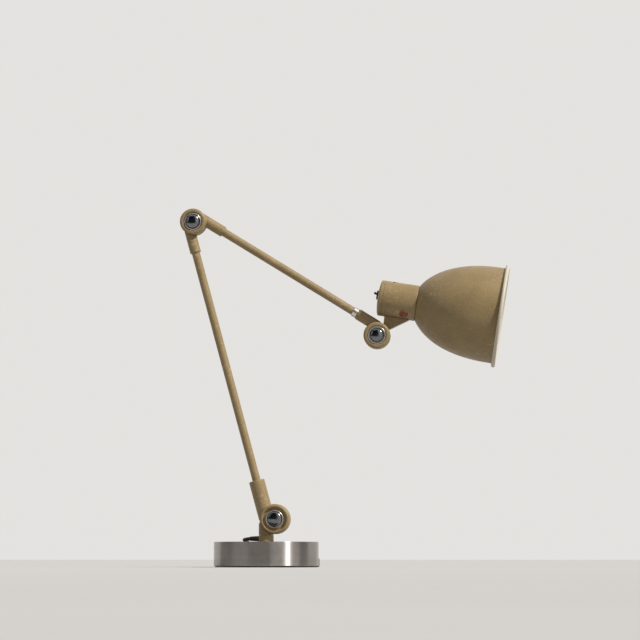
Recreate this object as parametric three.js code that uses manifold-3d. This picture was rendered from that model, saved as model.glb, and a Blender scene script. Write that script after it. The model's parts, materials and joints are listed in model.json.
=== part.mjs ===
// A desk lamp with two jointed arms on a turned steel disc, and a bell shade on a switched housing.
// Millimetres, +Z up, +X from the foot towards the shade. The origin is the middle of the felt's
// underside. Each arm group has its own +X along the arm and +Z on the outer side of its knuckles.
import * as THREE from 'three';
import { mergeVertices } from 'three/addons/utils/BufferGeometryUtils.js';
import Module from 'manifold-3d';

const wasm = await Module();
wasm.setup();

// ---- driving dimensions ----
const GAP = 0.3; // between faces that touch
const RUN = 0.5; // between faces that turn past each other
const OVERCUT = 1; // how far a cutter reaches past what it cuts

// round counts
const WIDE = 48;
const BELL_SIDES = 44;
const HOUSING_SIDES = 36;
const DRUM_SIDES = 30;
const ARM_SIDES = 18;
const SMALL = 12;

// foot
const FELT_RADIUS = 76.5;
const FELT_TOP = 1.7;
const DISC_RADIUS = 78.5;
const DISC_TOP = 38;
const DISC_CHAMFER = 0.8;
const NUT_WELL_RADIUS = 14;
const NUT_WELL_DEPTH = 12;
const NUT_WELL_CLEAR = 2; // round the washer, for a socket spanner
const STUB_RADIUS = 11.2;
const FOOT_HEIGHT = 10.2;
const SPIGOT_RADIUS = 7.2; // the knuckle's spigot turns in the foot
const SWIVEL_RADIUS = 4.85;
const SWIVEL_BORE = 3.2;
const SWIVEL_HEAD = 9.5;
const SWIVEL_HEAD_HEIGHT = 6;
const SWIVEL_WASHER = NUT_WELL_RADIUS - NUT_WELL_CLEAR;
const SWIVEL_GRIP = 9.5; // length screwed into the spigot
const WASHER_THICK = 1.6;

// arms
const TUBE_RADIUS = 6.15;
const TUBE_WALL = 1.2;
const LEAD_RADIUS = 2;

const LOWER_ANGLE = 105.1; // from +X, in degrees
const UPPER_ANGLE = -31.7;
const HEAD_ANGLE = -9;

const LOWER_LENGTH = 465; // along the arm, pivot to pivot
const UPPER_LENGTH = 327;

// knuckle pairs: drum radius, half thickness, how far the edge is rounded, the recess in the front
// face, and the ring and cap on the pivot
const BASE_HUB = { radius: 22.5, half: 17, round: 3.7, recess: 18.8, ring: 13.5, cap: 11 };
const ELBOW_HUB = { radius: 19.7, half: 15, round: 3.3, recess: 13.8, ring: 13.5, cap: 10.2 };
const WRIST_HUB = { radius: 20, half: 15, round: 3.6, recess: 13.8, ring: 13.5, cap: 9.75 };
const BASE_DRUM_CLEAR = 1.3; // between the base drums and the top of the foot
const BASE_PIVOT = { x: 13.6, z: DISC_TOP + FOOT_HEIGHT + BASE_DRUM_CLEAR + BASE_HUB.radius };
const LAP = 1.6; // gap between the two drums, filled by the friction disc
const FRICTION_THICK = 1;
const FRICTION_INSET = 1; // from the drum's edge
const RECESS_DEPTH = 4.5;
const PIVOT_RADIUS = 4;
const PIVOT_HEAD = 8;
const PIVOT_HEAD_THICK = 2.6;
const PIVOT_NUT = 8.4;
const PIVOT_NUT_THICK = 5.4;
const PIVOT_WASHER = 10.4;
const NUT_RECESS_RADIUS = 11.4;
const CAP_WALL = 0.9;
const CAP_CROWN = 3.6;
const RING_PROUD = 0.4;

// sleeves: wall outside the tube's line, offset of that line from the pivot, and along the arm
// from the pivot where the sleeve starts, where its socket is stopped and where it ends
const BASE_SLEEVE = { wall: 5.65, offset: 12.2, heel: 4, stop: 28, reach: 63 };
const ELBOW_LOW_SLEEVE = { wall: 2.1, offset: 8.8, heel: 2, stop: 26, reach: 46 };
const ELBOW_TOP_SLEEVE = { wall: 2.1, offset: 11, heel: 2, stop: 26, reach: 46.7 };
const WRIST_SLEEVE = { wall: 2.25, offset: 12.6, heel: 6, stop: 27, reach: 42 };
const SLEEVE_CHAMFER = 0.8;

// swivel collar between the upper tube and the wrist
const COLLAR_PROUD = 1.35; // of the tube
const COLLAR_RADIUS = TUBE_RADIUS + COLLAR_PROUD;
const COLLAR_LENGTH = 7.5;
const JOURNAL_CLEAR = 0.35; // inside the tube
const JOURNAL_RADIUS = TUBE_RADIUS - TUBE_WALL - JOURNAL_CLEAR;
const JOURNAL_LENGTH = 14;
const COLLAR_BORE = 2.6;

// head: s runs along the head's axis from the housing's rear edge
const HEAD_BACK = -3.4; // the rear edge along the head's axis, from the wrist pivot
const HOUSING_RADIUS = 26.85;
const SHEET = 1.2;
const HOUSING_BORE = HOUSING_RADIUS - SHEET;
const HEAD_CLEAR = 10.25; // between the wrist drum and the housing
const HEAD_RISE = WRIST_HUB.radius + HEAD_CLEAR + HOUSING_RADIUS; // the head's axis above the pivot
const CAP_SKIRT = 4;
const CAP_SAG = 4.5;
const CAP_SPIGOT = 21.5;
const CAP_SCREW_AT = 17.5;
const CAP_SCREW = { radius: 1.5, head: 2.6, thick: 1, long: 5 };
const CAP_SCREW_TURNS = [-18, 112]; // degrees about the head's axis, from the top

// the gusset under the housing: its rear and front edges leave the drum at these turns
const BRACKET = { half: 7, back: 5.3, reach: 43.8, rearTurn: 69.3, frontTurn: 34.3, frontOut: 2.2 };
const BRACKET_ROOT = 11; // how near the pivot its edges start, inside the drum
const BRACKET_SCREW = { radius: 1.7, head: 3.2, thick: 2, grip: 4.75 };
const BRACKET_SCREWS_AT = [23, 33];

// toggle switch and grommet
const SWITCH_RISE = 3.5;
const BUSH = { radius: 5.6, bore: 4.2, ring: 7, proud: 1.8, back: 3.2 };
const SWITCH_BOX = { long: 19, wide: 13, high: 20 };
const LEVER = { neck: 1.4, tip: 2, point: 1.4, long: 10.6, tilt: 15, at: -0.9 };
const LEVER_BALL_END = 155; // how far round the lever's ball goes before the neck, in degrees
const LEVER_BALL_STEPS = 4;
const GROMMET = { at: 38.5, turn: -139, radius: 6.5, neck: 4.7, side: 1.3, crown: 4.5, dome: 2.6 };

// lampholder, behind it room for the wires from the switch
const WIRE_ROOM = 5.8;
const HOLDER_CLEAR = 6.45; // between the holder and the housing's bore
const HOLDER_RADIUS = HOUSING_BORE - HOLDER_CLEAR;
const HOLDER_BACK = BUSH.back + SWITCH_BOX.long + WIRE_ROOM;
const HOLDER_SEAT = 27.7; // from the holder's back to the housing's front
const HOLDER_LONG = 38;
const HOLDER_FLANGE_CLEAR = 3.05; // between the flange and the housing's bore
const HOLDER_FLANGE_THICK = 3.6;
const HOUSING_FRONT = HOLDER_BACK + HOLDER_SEAT;
const NECK_CLEAR = 1.3;
const SOCKET_RADIUS = 14;
const SOCKET_FLOOR_THICK = 8;
const SHADE_RING_RADIUS = 24;
const SHADE_RING_LONG = 5.4;

// bulb
const BULB_CAP = { radius: 13.2, long: 27, point: 6.6, taper: 4.8, wall: 1 };
const BULB_RADIUS = 30;
const BULB_LONG = 79;
const BULB_NECK_TURN = -52; // where the bulb's ball meets its neck, in degrees
const GLASS = 1.1;

// shade: a bell on the ring's seat, with a rolled bead at its mouth
const SHADE_BACK = HOUSING_FRONT + GAP;
const SHADE_MOUTH = 174;
const SHADE_RADIUS = 72;
const SHADE_SEAT = SHADE_RING_RADIUS + 2 * GAP;
const SHADE_NECK_STEP = 2.1; // round the seat
const SHADE_NECK = SHADE_SEAT + SHADE_NECK_STEP;
const SHADE_POWER = 2.2;
const SHADE_THROAT_CLEAR = 0.5;
const SHADE_STATIONS = 9;
const BEAD_RADIUS = 3;
const BEAD = { past: 8, out: 2.8, fromTurn: 213, toTurn: 540, steps: 7 };

// flex
const FLEX_RADIUS = 2.5;
const FLEX_EXIT_TURN = 145; // degrees from +X, seen from above
const FLEX_EXIT_HEIGHT = 4.8; // above the disc
const RELIEF = { neck: 3, root: 4, tip: 3.2, long: 20 };
const COIL = { x: 15.4, y: 172, mid: 30.5, turns: 5, layers: 2, pitch: 5.2, lift: 2.8, soft: 1.5 };
const FLEX_SIDES = 8;
const TIE = { wide: 8, thick: 1, slack: 0.9 };
const PLUG = { wide: 35, shoulder: 16.2, waist: 17, waistAt: 30.6, long: 36, thick: 13.7 };
const PLUG_CORNER = 2;
const PLUG_NECK = { radius: 4.2, long: 12 };
const PIN = { radius: 2, point: 1.2, pointLong: 1, long: 19, socket: 9.5, spacing: 19 };
const PLUG_AT = { x: 56.3, face: 90, lift: 0.3 };

// the flex from the relief's tip, over the disc's back edge and along the table to the coil
const FLEX_ROUTE = [
  [-26.3, 18.4, 42.8], [-28.3, 19.9, 42.7], [-30.9, 22.6, 42.4], [-33.5, 26.4, 42],
  [-35.6, 31.4, 41.5], [-36.5, 38.1, 41.1], [-36.4, 46.5, 40.9], [-35.9, 56, 40.95],
  [-35.3, 65.5, 41], [-34.8, 73.2, 40.2], [-34.3, 80.2, 37.1], [-33.8, 85.9, 31.7],
  [-33.2, 89.8, 24.9], [-32.5, 93.4, 17.8], [-31.5, 97.9, 11.2], [-30.1, 104, 6],
  [-28.3, 111.5, 3.5], [-26.8, 121, 2.8], [-25.8, 131.5, 2.8], [-25.5, 141.5, 2.8],
  [-25.5, 151.5, 2.8],
];
// from the coil's last turn to the plug
const TAIL_ROUTE = [[56.3, 151.4, 7.75], [56.3, 145, 7.5], [56.3, 138.3, 7.15]];

// ---- finishes ----
const enamel = finish(0x9d8a6c, 0.55, 0.1);
const steel = finish(0xa9a4a0, 0.35, 0.9);
const chrome = finish(0xc9ccd2, 0.12, 1);
const nickel = finish(0xbdb8ae, 0.3, 1);
const zinc = finish(0x8f8c86, 0.45, 0.9);
const felt = finish(0x2f3a30, 0.95, 0);
const fibre = finish(0x6b5a42, 0.9, 0);
const bakelite = finish(0x3c1c14, 0.4, 0);
const redPlastic = finish(0x7a2f1c, 0.45, 0);
const flexCover = finish(0x34201a, 0.8, 0);
const porcelain = finish(0xe9e6de, 0.3, 0);
const brass = finish(0xb08d4a, 0.35, 1);
const glass = finish(0xf4f2ea, 0.25, 0);

function finish(color, roughness, metalness) {
  return new THREE.MeshStandardMaterial({ color, roughness, metalness });
}

// ---- shape helpers ----
function signedVolume(position, index) {
  const a = new THREE.Vector3();
  const b = new THREE.Vector3();
  const c = new THREE.Vector3();
  let total = 0;
  for (let i = 0; i < index.length; i += 3) {
    a.fromBufferAttribute(position, index[i]);
    b.fromBufferAttribute(position, index[i + 1]);
    c.fromBufferAttribute(position, index[i + 2]);
    total += a.dot(b.cross(c));
  }
  return total;
}

// a closed geometry as a solid, its faces pointing out
function solid(source) {
  const bare = source.clone();
  bare.deleteAttribute('normal');
  bare.deleteAttribute('uv');
  const merged = mergeVertices(bare, 1e-4);
  const index = [];
  for (let i = 0; i < merged.index.count; i += 3) {
    const corners = [0, 1, 2].map((k) => merged.index.getX(i + k));
    if (new Set(corners).size === 3) index.push(...corners);
  }
  if (signedVolume(merged.attributes.position, index) < 0) index.reverse();
  return new wasm.Manifold(new wasm.Mesh({
    numProp: 3,
    vertProperties: new Float32Array(merged.attributes.position.array),
    triVerts: new Uint32Array(index),
  }));
}

function addPart(group, name, shape, material) {
  const made = shape.getMesh();
  const geometry = new THREE.BufferGeometry();
  geometry.setAttribute('position', new THREE.BufferAttribute(made.vertProperties, 3));
  geometry.setIndex(new THREE.BufferAttribute(made.triVerts, 1));
  const faceted = geometry.toNonIndexed();
  faceted.computeVertexNormals();
  const mesh = new THREE.Mesh(faceted, material);
  mesh.name = name;
  group.add(mesh);
  return mesh;
}

// a profile of [radius, height] turned about the Y axis, which every pivot lies along
function turnedOnY(profile, sides) {
  return new THREE.LatheGeometry(profile.map(([r, h]) => new THREE.Vector2(r, h)), sides);
}

function turnedOnZ(profile, sides) {
  return turnedOnY(profile, sides).rotateX(Math.PI / 2);
}

function turnedOnX(profile, sides) {
  return turnedOnY(profile, sides).rotateZ(-Math.PI / 2);
}

function rod(radius, from, to) {
  return [[0, from], [radius, from], [radius, to], [0, to]];
}

function pipe(outer, inner, from, to) {
  return [[inner, from], [outer, from], [outer, to], [inner, to], [inner, from]];
}

// an outline of [x, z] points between two depths
function plate(outline, yFrom, yTo) {
  const shape = new THREE.Shape(outline.map(([x, z]) => new THREE.Vector2(x, z)));
  const made = new THREE.ExtrudeGeometry(shape, { depth: yTo - yFrom, bevelEnabled: false });
  return made.rotateX(Math.PI / 2).translate(0, yTo, 0);
}

function hexOnY(radius, from, to) {
  const made = new THREE.CylinderGeometry(radius, radius, to - from, 6);
  return made.translate(0, (from + to) / 2, 0);
}

function radians(degrees) {
  return THREE.MathUtils.degToRad(degrees);
}

// a point at a distance from the origin, turned up from the first axis
function polar(distance, degrees) {
  return [distance * Math.cos(radians(degrees)), distance * Math.sin(radians(degrees))];
}

// the shape on the head's axis turned to a side of the housing; turn 0 is the top
function onHousingSide(shape, at, turn) {
  return shape.rotateX(Math.PI / 2).rotateX(-radians(turn)).translate(at, 0, 0);
}

// ---- knuckles ----
// one half drum, front (-Y) or rear (+Y), without its recess; side is -1 or 1
function halfDrum(hub, side) {
  const midRound = hub.round * (1 - Math.SQRT1_2);
  const profile = [
    [0, LAP / 2], [hub.radius, LAP / 2], [hub.radius, hub.half - hub.round],
    [hub.radius - midRound, hub.half - midRound], [hub.radius - hub.round, hub.half], [0, hub.half],
  ];
  return solid(turnedOnY(profile.map(([r, y]) => [r, side * y]), DRUM_SIDES));
}

// what a pivot takes out of the piece on one side of it: the face's recess and the bolt's bore
function recessAndBore(hub, side) {
  const radius = side < 0 ? hub.recess : NUT_RECESS_RADIUS;
  const recess = rod(radius, side * (hub.half - RECESS_DEPTH), side * (hub.half + OVERCUT));
  const bore = rod(PIVOT_RADIUS + GAP, -hub.half, hub.half);
  return solid(turnedOnY(recess, DRUM_SIDES)).add(solid(turnedOnY(bore, SMALL)));
}

// room for the facing half drum
function drumRoom(hub, side) {
  const depth = hub.half + OVERCUT;
  const from = side < 0 ? -depth : -LAP / 2;
  const to = side < 0 ? LAP / 2 : depth;
  return solid(turnedOnY(rod(hub.radius + RUN, from, to), DRUM_SIDES));
}

// a knuckle in the arm's frame, with its pivot at the origin; way is 1 if the arm leaves along +X
function knuckle(hub, side, sleeve, way, socketRadius) {
  const radius = TUBE_RADIUS + sleeve.wall;
  const outline = [
    [0, sleeve.heel], [radius, sleeve.heel], [radius, sleeve.reach - SLEEVE_CHAMFER],
    [radius - SLEEVE_CHAMFER, sleeve.reach], [0, sleeve.reach],
  ].map(([r, x]) => [r, way * x]);
  const body = solid(turnedOnX(outline, ARM_SIDES).translate(0, 0, sleeve.offset));
  const socket = solid(turnedOnX(
    rod(socketRadius, way * sleeve.stop, way * (sleeve.reach + OVERCUT)), ARM_SIDES,
  ).translate(0, 0, sleeve.offset));
  return body.add(halfDrum(hub, side)).subtract(drumRoom(hub, -side))
    .subtract(recessAndBore(hub, side)).subtract(socket);
}

// bolt, cap, ring and friction disc on a pivot, and the washer and nut behind it
function addPivot(front, frontPlace, rear, rearPlace, hub, label) {
  const floor = hub.half - RECESS_DEPTH;
  const face = hub.half;
  const onFront = (geometry) => solid(geometry.translate(frontPlace.x, 0, frontPlace.z));
  const onRear = (geometry) => solid(geometry.translate(rearPlace.x, 0, rearPlace.z));
  const head = [
    [0, -floor - GAP - PIVOT_HEAD_THICK], [PIVOT_HEAD, -floor - GAP - PIVOT_HEAD_THICK],
    [PIVOT_HEAD, -floor - GAP], [PIVOT_RADIUS, -floor - GAP],
    [PIVOT_RADIUS, face + OVERCUT], [0, face + OVERCUT],
  ];
  addPart(front, `${label}_bolt`, onFront(turnedOnY(head, SMALL)), zinc);

  const rim = -face - RING_PROUD;
  const dome = [];
  const hollow = [];
  const steps = 3;
  for (let i = 0; i <= steps; i += 1) {
    const turn = (Math.PI / 2) * (i / steps);
    dome.push([hub.cap * Math.cos(turn), rim - CAP_CROWN * Math.sin(turn)]);
    hollow.push([(hub.cap - CAP_WALL) * Math.cos(turn), rim - (CAP_CROWN - CAP_WALL) * Math.sin(turn)]);
  }
  dome[steps][0] = 0;
  hollow[steps][0] = 0;
  const seat = -floor - GAP;
  const capProfile = [...hollow.reverse(), [hub.cap - CAP_WALL, seat], [hub.cap, seat], ...dome];
  addPart(front, `${label}_cap`, onFront(turnedOnY(capProfile, ARM_SIDES)), chrome);

  const ring = pipe(hub.ring, hub.cap + GAP, -face - RING_PROUD, seat);
  addPart(front, `${label}_ring`, onFront(turnedOnY(ring, ARM_SIDES)), nickel);

  const disc = pipe(
    hub.radius - FRICTION_INSET, PIVOT_RADIUS + GAP, -FRICTION_THICK / 2, FRICTION_THICK / 2,
  );
  addPart(rear, `${label}_friction_disc`, onRear(turnedOnY(disc, ARM_SIDES)), fibre);

  const washerFrom = floor + GAP;
  const washer = pipe(PIVOT_WASHER, PIVOT_RADIUS + GAP, washerFrom, washerFrom + WASHER_THICK);
  addPart(rear, `${label}_washer`, onRear(turnedOnY(washer, ARM_SIDES)), zinc);

  const nutFrom = washerFrom + WASHER_THICK + GAP;
  const nutHole = rod(PIVOT_RADIUS + GAP, nutFrom - OVERCUT, nutFrom + PIVOT_NUT_THICK + OVERCUT);
  const nut = solid(hexOnY(PIVOT_NUT, nutFrom, nutFrom + PIVOT_NUT_THICK))
    .subtract(solid(turnedOnY(nutHole, SMALL)));
  addPart(rear, `${label}_nut`, nut.translate([rearPlace.x, 0, rearPlace.z]), zinc);
}

// ---- foot ----
function addFoot(group) {
  addPart(group, 'base_felt', solid(turnedOnZ(rod(FELT_RADIUS, 0, FELT_TOP), WIDE)), felt);

  const bottom = FELT_TOP + GAP;
  const well = bottom + NUT_WELL_DEPTH;
  const hole = SWIVEL_RADIUS + GAP;
  const disc = [
    [NUT_WELL_RADIUS, bottom], [DISC_RADIUS - DISC_CHAMFER, bottom],
    [DISC_RADIUS, bottom + DISC_CHAMFER], [DISC_RADIUS, DISC_TOP - DISC_CHAMFER],
    [DISC_RADIUS - DISC_CHAMFER, DISC_TOP], [hole, DISC_TOP], [hole, well],
    [NUT_WELL_RADIUS, well], [NUT_WELL_RADIUS, bottom],
  ];
  addPart(group, 'base_disc', solid(turnedOnZ(disc, WIDE)), steel);

  const footFrom = DISC_TOP + GAP;
  const footTo = DISC_TOP + FOOT_HEIGHT;
  const foot = pipe(STUB_RADIUS, SPIGOT_RADIUS + GAP, footFrom, footTo);
  const toExit = (geometry) => geometry.rotateZ(radians(FLEX_EXIT_TURN))
    .translate(0, 0, DISC_TOP + FLEX_EXIT_HEIGHT);
  const flexHole = solid(toExit(turnedOnX(rod(RELIEF.neck + GAP, 0, STUB_RADIUS + OVERCUT), SMALL)));
  const footShape = solid(turnedOnZ(foot, DRUM_SIDES)).subtract(flexHole);
  addPart(group, 'swivel_foot', footShape, enamel);

  const neckFrom = SPIGOT_RADIUS + 2 * GAP;
  const rootAt = STUB_RADIUS + GAP;
  const relief = [
    [0, neckFrom], [RELIEF.neck, neckFrom], [RELIEF.neck, rootAt], [RELIEF.root, rootAt],
    [RELIEF.tip, rootAt + RELIEF.long], [0, rootAt + RELIEF.long],
  ];
  addPart(group, 'flex_relief', solid(toExit(turnedOnX(relief, SMALL))), flexCover);
}

// the hollow bolt that the arms turn on, its head in the disc's well
function addSwivelBolt(group) {
  const washerTo = FELT_TOP + NUT_WELL_DEPTH;
  const washer = pipe(SWIVEL_WASHER, SWIVEL_RADIUS + GAP, washerTo - WASHER_THICK, washerTo);
  addPart(group, 'swivel_washer', solid(turnedOnZ(washer, ARM_SIDES)), zinc);

  const headTo = washerTo - WASHER_THICK - GAP;
  const top = DISC_TOP + SWIVEL_GRIP + OVERCUT;
  const blank = hexOnY(SWIVEL_HEAD, headTo - SWIVEL_HEAD_HEIGHT, headTo).rotateX(Math.PI / 2);
  const shank = turnedOnZ(rod(SWIVEL_RADIUS, headTo - OVERCUT, top), SMALL);
  const hole = turnedOnZ(rod(SWIVEL_BORE, headTo - SWIVEL_HEAD_HEIGHT - OVERCUT, top + OVERCUT), SMALL);
  addPart(group, 'swivel_bolt', solid(blank).add(solid(shank)).subtract(solid(hole)), zinc);
}

// the standing knuckle: a stub on the foot, with a spigot inside it, that carries the rear drum
function addBaseKnuckle(group) {
  const from = DISC_TOP + FOOT_HEIGHT + GAP;
  const toPivot = [BASE_PIVOT.x, 0, BASE_PIVOT.z];
  const stub = solid(turnedOnZ(rod(STUB_RADIUS, from, BASE_PIVOT.z - BASE_SLEEVE.heel), DRUM_SIDES));
  const spigot = solid(turnedOnZ(rod(SPIGOT_RADIUS, DISC_TOP + 2 * GAP, from + OVERCUT), DRUM_SIDES));
  const drum = halfDrum(BASE_HUB, 1).translate(toPivot);
  const room = drumRoom(BASE_HUB, -1).translate(toPivot);
  const grip = solid(turnedOnZ(rod(
    SWIVEL_RADIUS + GAP, DISC_TOP, DISC_TOP + SWIVEL_GRIP + OVERCUT + GAP,
  ), SMALL));
  const shape = stub.add(spigot).add(drum).subtract(room)
    .subtract(recessAndBore(BASE_HUB, 1).translate(toPivot)).subtract(grip);
  addPart(group, 'base_knuckle', shape, enamel);
}

// ---- arms ----
function addTube(group, name, from, to, offset, leadSide) {
  const bore = TUBE_RADIUS - TUBE_WALL;
  const tube = turnedOnX(pipe(TUBE_RADIUS, bore, from, to), ARM_SIDES).translate(0, 0, offset);
  addPart(group, `${name}_tube`, solid(tube), enamel);
  const rest = offset + leadSide * (bore - LEAD_RADIUS - GAP);
  const lead = turnedOnX(rod(LEAD_RADIUS, from + GAP, to - JOURNAL_LENGTH - GAP), FLEX_SIDES);
  addPart(group, `${name}_lead`, solid(lead.translate(0, 0, rest)), flexCover);
}

function addLowerArm(group, elbow) {
  const socket = TUBE_RADIUS + GAP;
  addPart(group, 'lower_arm_base_knuckle', knuckle(BASE_HUB, -1, BASE_SLEEVE, 1, socket), enamel);
  const top = knuckle(ELBOW_HUB, 1, ELBOW_LOW_SLEEVE, -1, socket).translate([elbow.x, 0, elbow.z]);
  addPart(group, 'lower_arm_elbow_knuckle', top, enamel);
  const from = BASE_SLEEVE.stop + GAP;
  const to = elbow.x - ELBOW_LOW_SLEEVE.stop - GAP;
  addTube(group, 'lower_arm', from, to, BASE_SLEEVE.offset, 1);
}

function addUpperArm(group, wrist) {
  const socket = TUBE_RADIUS + GAP;
  addPart(group, 'upper_arm_elbow_knuckle', knuckle(ELBOW_HUB, -1, ELBOW_TOP_SLEEVE, 1, socket), enamel);
  const tubeEnd = wrist.x - WRIST_SLEEVE.reach - GAP - COLLAR_LENGTH - GAP;
  addTube(group, 'upper_arm', ELBOW_TOP_SLEEVE.stop + GAP, tubeEnd, ELBOW_TOP_SLEEVE.offset, -1);

  const flange = tubeEnd + GAP;
  const collar = [
    [COLLAR_BORE, flange - JOURNAL_LENGTH], [JOURNAL_RADIUS, flange - JOURNAL_LENGTH],
    [JOURNAL_RADIUS, flange], [COLLAR_RADIUS, flange], [COLLAR_RADIUS, flange + COLLAR_LENGTH],
    [JOURNAL_RADIUS, flange + COLLAR_LENGTH], [JOURNAL_RADIUS, flange + COLLAR_LENGTH + JOURNAL_LENGTH],
    [COLLAR_BORE, flange + COLLAR_LENGTH + JOURNAL_LENGTH], [COLLAR_BORE, flange - JOURNAL_LENGTH],
  ];
  const shape = turnedOnX(collar, ARM_SIDES).translate(0, 0, ELBOW_TOP_SLEEVE.offset);
  addPart(group, 'wrist_collar', solid(shape), nickel);
}

function addWristKnuckle(group, wrist) {
  const shape = knuckle(WRIST_HUB, 1, WRIST_SLEEVE, -1, JOURNAL_RADIUS + GAP);
  addPart(group, 'wrist_knuckle', shape.translate([wrist.x, 0, wrist.z]), enamel);
}

// ---- head ----
// the bell's outer radius: a superellipse that is SHADE_NECK wide at the back
function shadeRadius(s) {
  const reach = (1 - (SHADE_NECK / SHADE_RADIUS) ** 2) ** (1 / SHADE_POWER);
  const t = (reach * (SHADE_MOUTH - s)) / (SHADE_MOUTH - SHADE_BACK);
  return SHADE_RADIUS * Math.sqrt(1 - t ** SHADE_POWER);
}

// the bell's outer line, from the neck to the mouth, as [radius, s]
function shadeLine() {
  const line = [];
  for (let i = 0; i <= SHADE_STATIONS; i += 1) {
    const turn = (Math.PI / 2) * (i / SHADE_STATIONS);
    const s = SHADE_MOUTH - (SHADE_MOUTH - SHADE_BACK) * Math.cos(turn);
    line.push([shadeRadius(s), s]);
  }
  return line;
}

// the same line moved inwards by the sheet's thickness
function inset(line, by) {
  return line.map(([r, s], i) => {
    const before = line[Math.max(i - 1, 0)];
    const after = line[Math.min(i + 1, line.length - 1)];
    const along = new THREE.Vector2(after[0] - before[0], after[1] - before[1]).normalize();
    return [r - along.y * by, s + along.x * by];
  });
}

function addShade(group) {
  const outer = shadeLine();
  const bead = [];
  for (let i = 0; i <= BEAD.steps; i += 1) {
    const turn = BEAD.fromTurn + (BEAD.toTurn - BEAD.fromTurn) * (i / BEAD.steps);
    const [r, s] = polar(BEAD_RADIUS, turn);
    bead.push([SHADE_RADIUS + BEAD.out + r, SHADE_MOUTH + BEAD.past + s]);
  }
  const inner = inset(outer, SHEET).reverse();
  inner.pop();
  const throat = HOLDER_RADIUS + SHADE_THROAT_CLEAR;
  const profile = [
    [throat, SHADE_BACK], ...outer, ...bead, ...inner,
    [SHADE_SEAT, SHADE_BACK + SHEET], [throat, SHADE_BACK + SHEET], [throat, SHADE_BACK],
  ];
  addPart(group, 'shade_bell', solid(turnedOnX(profile, BELL_SIDES)), enamel);
}

// a hole through the housing's side and the end cap's spigot
function sideHole(radius, at, turn) {
  const hole = rod(radius, HOUSING_BORE - 2 * SHEET, HOUSING_RADIUS + OVERCUT);
  return solid(onHousingSide(turnedOnY(hole, SMALL), at, turn));
}

function addHousing(group) {
  const neckBore = HOLDER_RADIUS + NECK_CLEAR;
  const shell = [
    [HOUSING_RADIUS, CAP_SKIRT + GAP], [HOUSING_RADIUS, HOUSING_FRONT], [neckBore, HOUSING_FRONT],
    [neckBore, HOUSING_FRONT - SHEET], [HOUSING_BORE, HOUSING_FRONT - SHEET],
    [HOUSING_BORE, CAP_SKIRT + GAP], [HOUSING_RADIUS, CAP_SKIRT + GAP],
  ];
  let housing = solid(turnedOnX(shell, HOUSING_SIDES));
  for (const turn of CAP_SCREW_TURNS) {
    housing = housing.subtract(sideHole(CAP_SCREW.radius + GAP, CAP_SCREW_AT, turn));
  }
  for (const at of BRACKET_SCREWS_AT) {
    housing = housing.subtract(sideHole(BRACKET_SCREW.radius + GAP, at - HEAD_BACK, 180));
  }
  housing = housing.subtract(sideHole(GROMMET.neck + GAP, GROMMET.at, GROMMET.turn));
  addPart(group, 'housing', housing, enamel);

  const seat = HOUSING_RADIUS + GAP;
  CAP_SCREW_TURNS.forEach((turn, i) => {
    const screw = [
      [0, seat - CAP_SCREW.long], [CAP_SCREW.radius, seat - CAP_SCREW.long],
      [CAP_SCREW.radius, seat], [CAP_SCREW.head, seat], [CAP_SCREW.head, seat + CAP_SCREW.thick],
      [0, seat + CAP_SCREW.thick],
    ];
    const shape = onHousingSide(turnedOnY(screw, SMALL), CAP_SCREW_AT, turn);
    addPart(group, `end_cap_screw_${i + 1}`, solid(shape), zinc);
  });

  const grommet = [
    [0, HOUSING_BORE - SHEET], [GROMMET.neck, HOUSING_BORE - SHEET], [GROMMET.neck, seat],
    [GROMMET.radius, seat], [GROMMET.radius, seat + GROMMET.side],
    [GROMMET.crown, seat + GROMMET.dome], [0, seat + GROMMET.dome],
  ];
  const shape = onHousingSide(turnedOnY(grommet, SMALL), GROMMET.at, GROMMET.turn);
  addPart(group, 'housing_grommet', solid(shape), redPlastic);
}

// the domed rear cap, with the spigot that the two small screws hold
function addEndCap(group) {
  const spigot = HOUSING_BORE - GAP;
  const spigotBore = spigot - SHEET;
  const dome = [];
  const hollow = [];
  const steps = 4;
  for (let i = 0; i <= steps; i += 1) {
    const turn = (Math.PI / 2) * (i / steps);
    dome.push([HOUSING_RADIUS * Math.sin(turn), -CAP_SAG * Math.cos(turn)]);
    hollow.push([spigotBore * Math.sin(turn), SHEET - CAP_SAG * Math.cos(turn)]);
  }
  dome[0][0] = 0;
  hollow[0][0] = 0;
  const profile = [
    ...dome, [HOUSING_RADIUS, CAP_SKIRT], [spigot, CAP_SKIRT], [spigot, CAP_SPIGOT],
    [spigotBore, CAP_SPIGOT], ...hollow.reverse(),
  ];
  let cap = solid(turnedOnX(profile, HOUSING_SIDES));
  for (const turn of CAP_SCREW_TURNS) {
    cap = cap.subtract(sideHole(CAP_SCREW.radius + GAP, CAP_SCREW_AT, turn));
  }
  const bushHole = turnedOnX(rod(BUSH.radius + GAP, -CAP_SAG - OVERCUT, CAP_SKIRT), SMALL);
  cap = cap.subtract(solid(bushHole.translate(0, 0, SWITCH_RISE)));
  addPart(group, 'housing_end_cap', cap, enamel);
}

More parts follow.
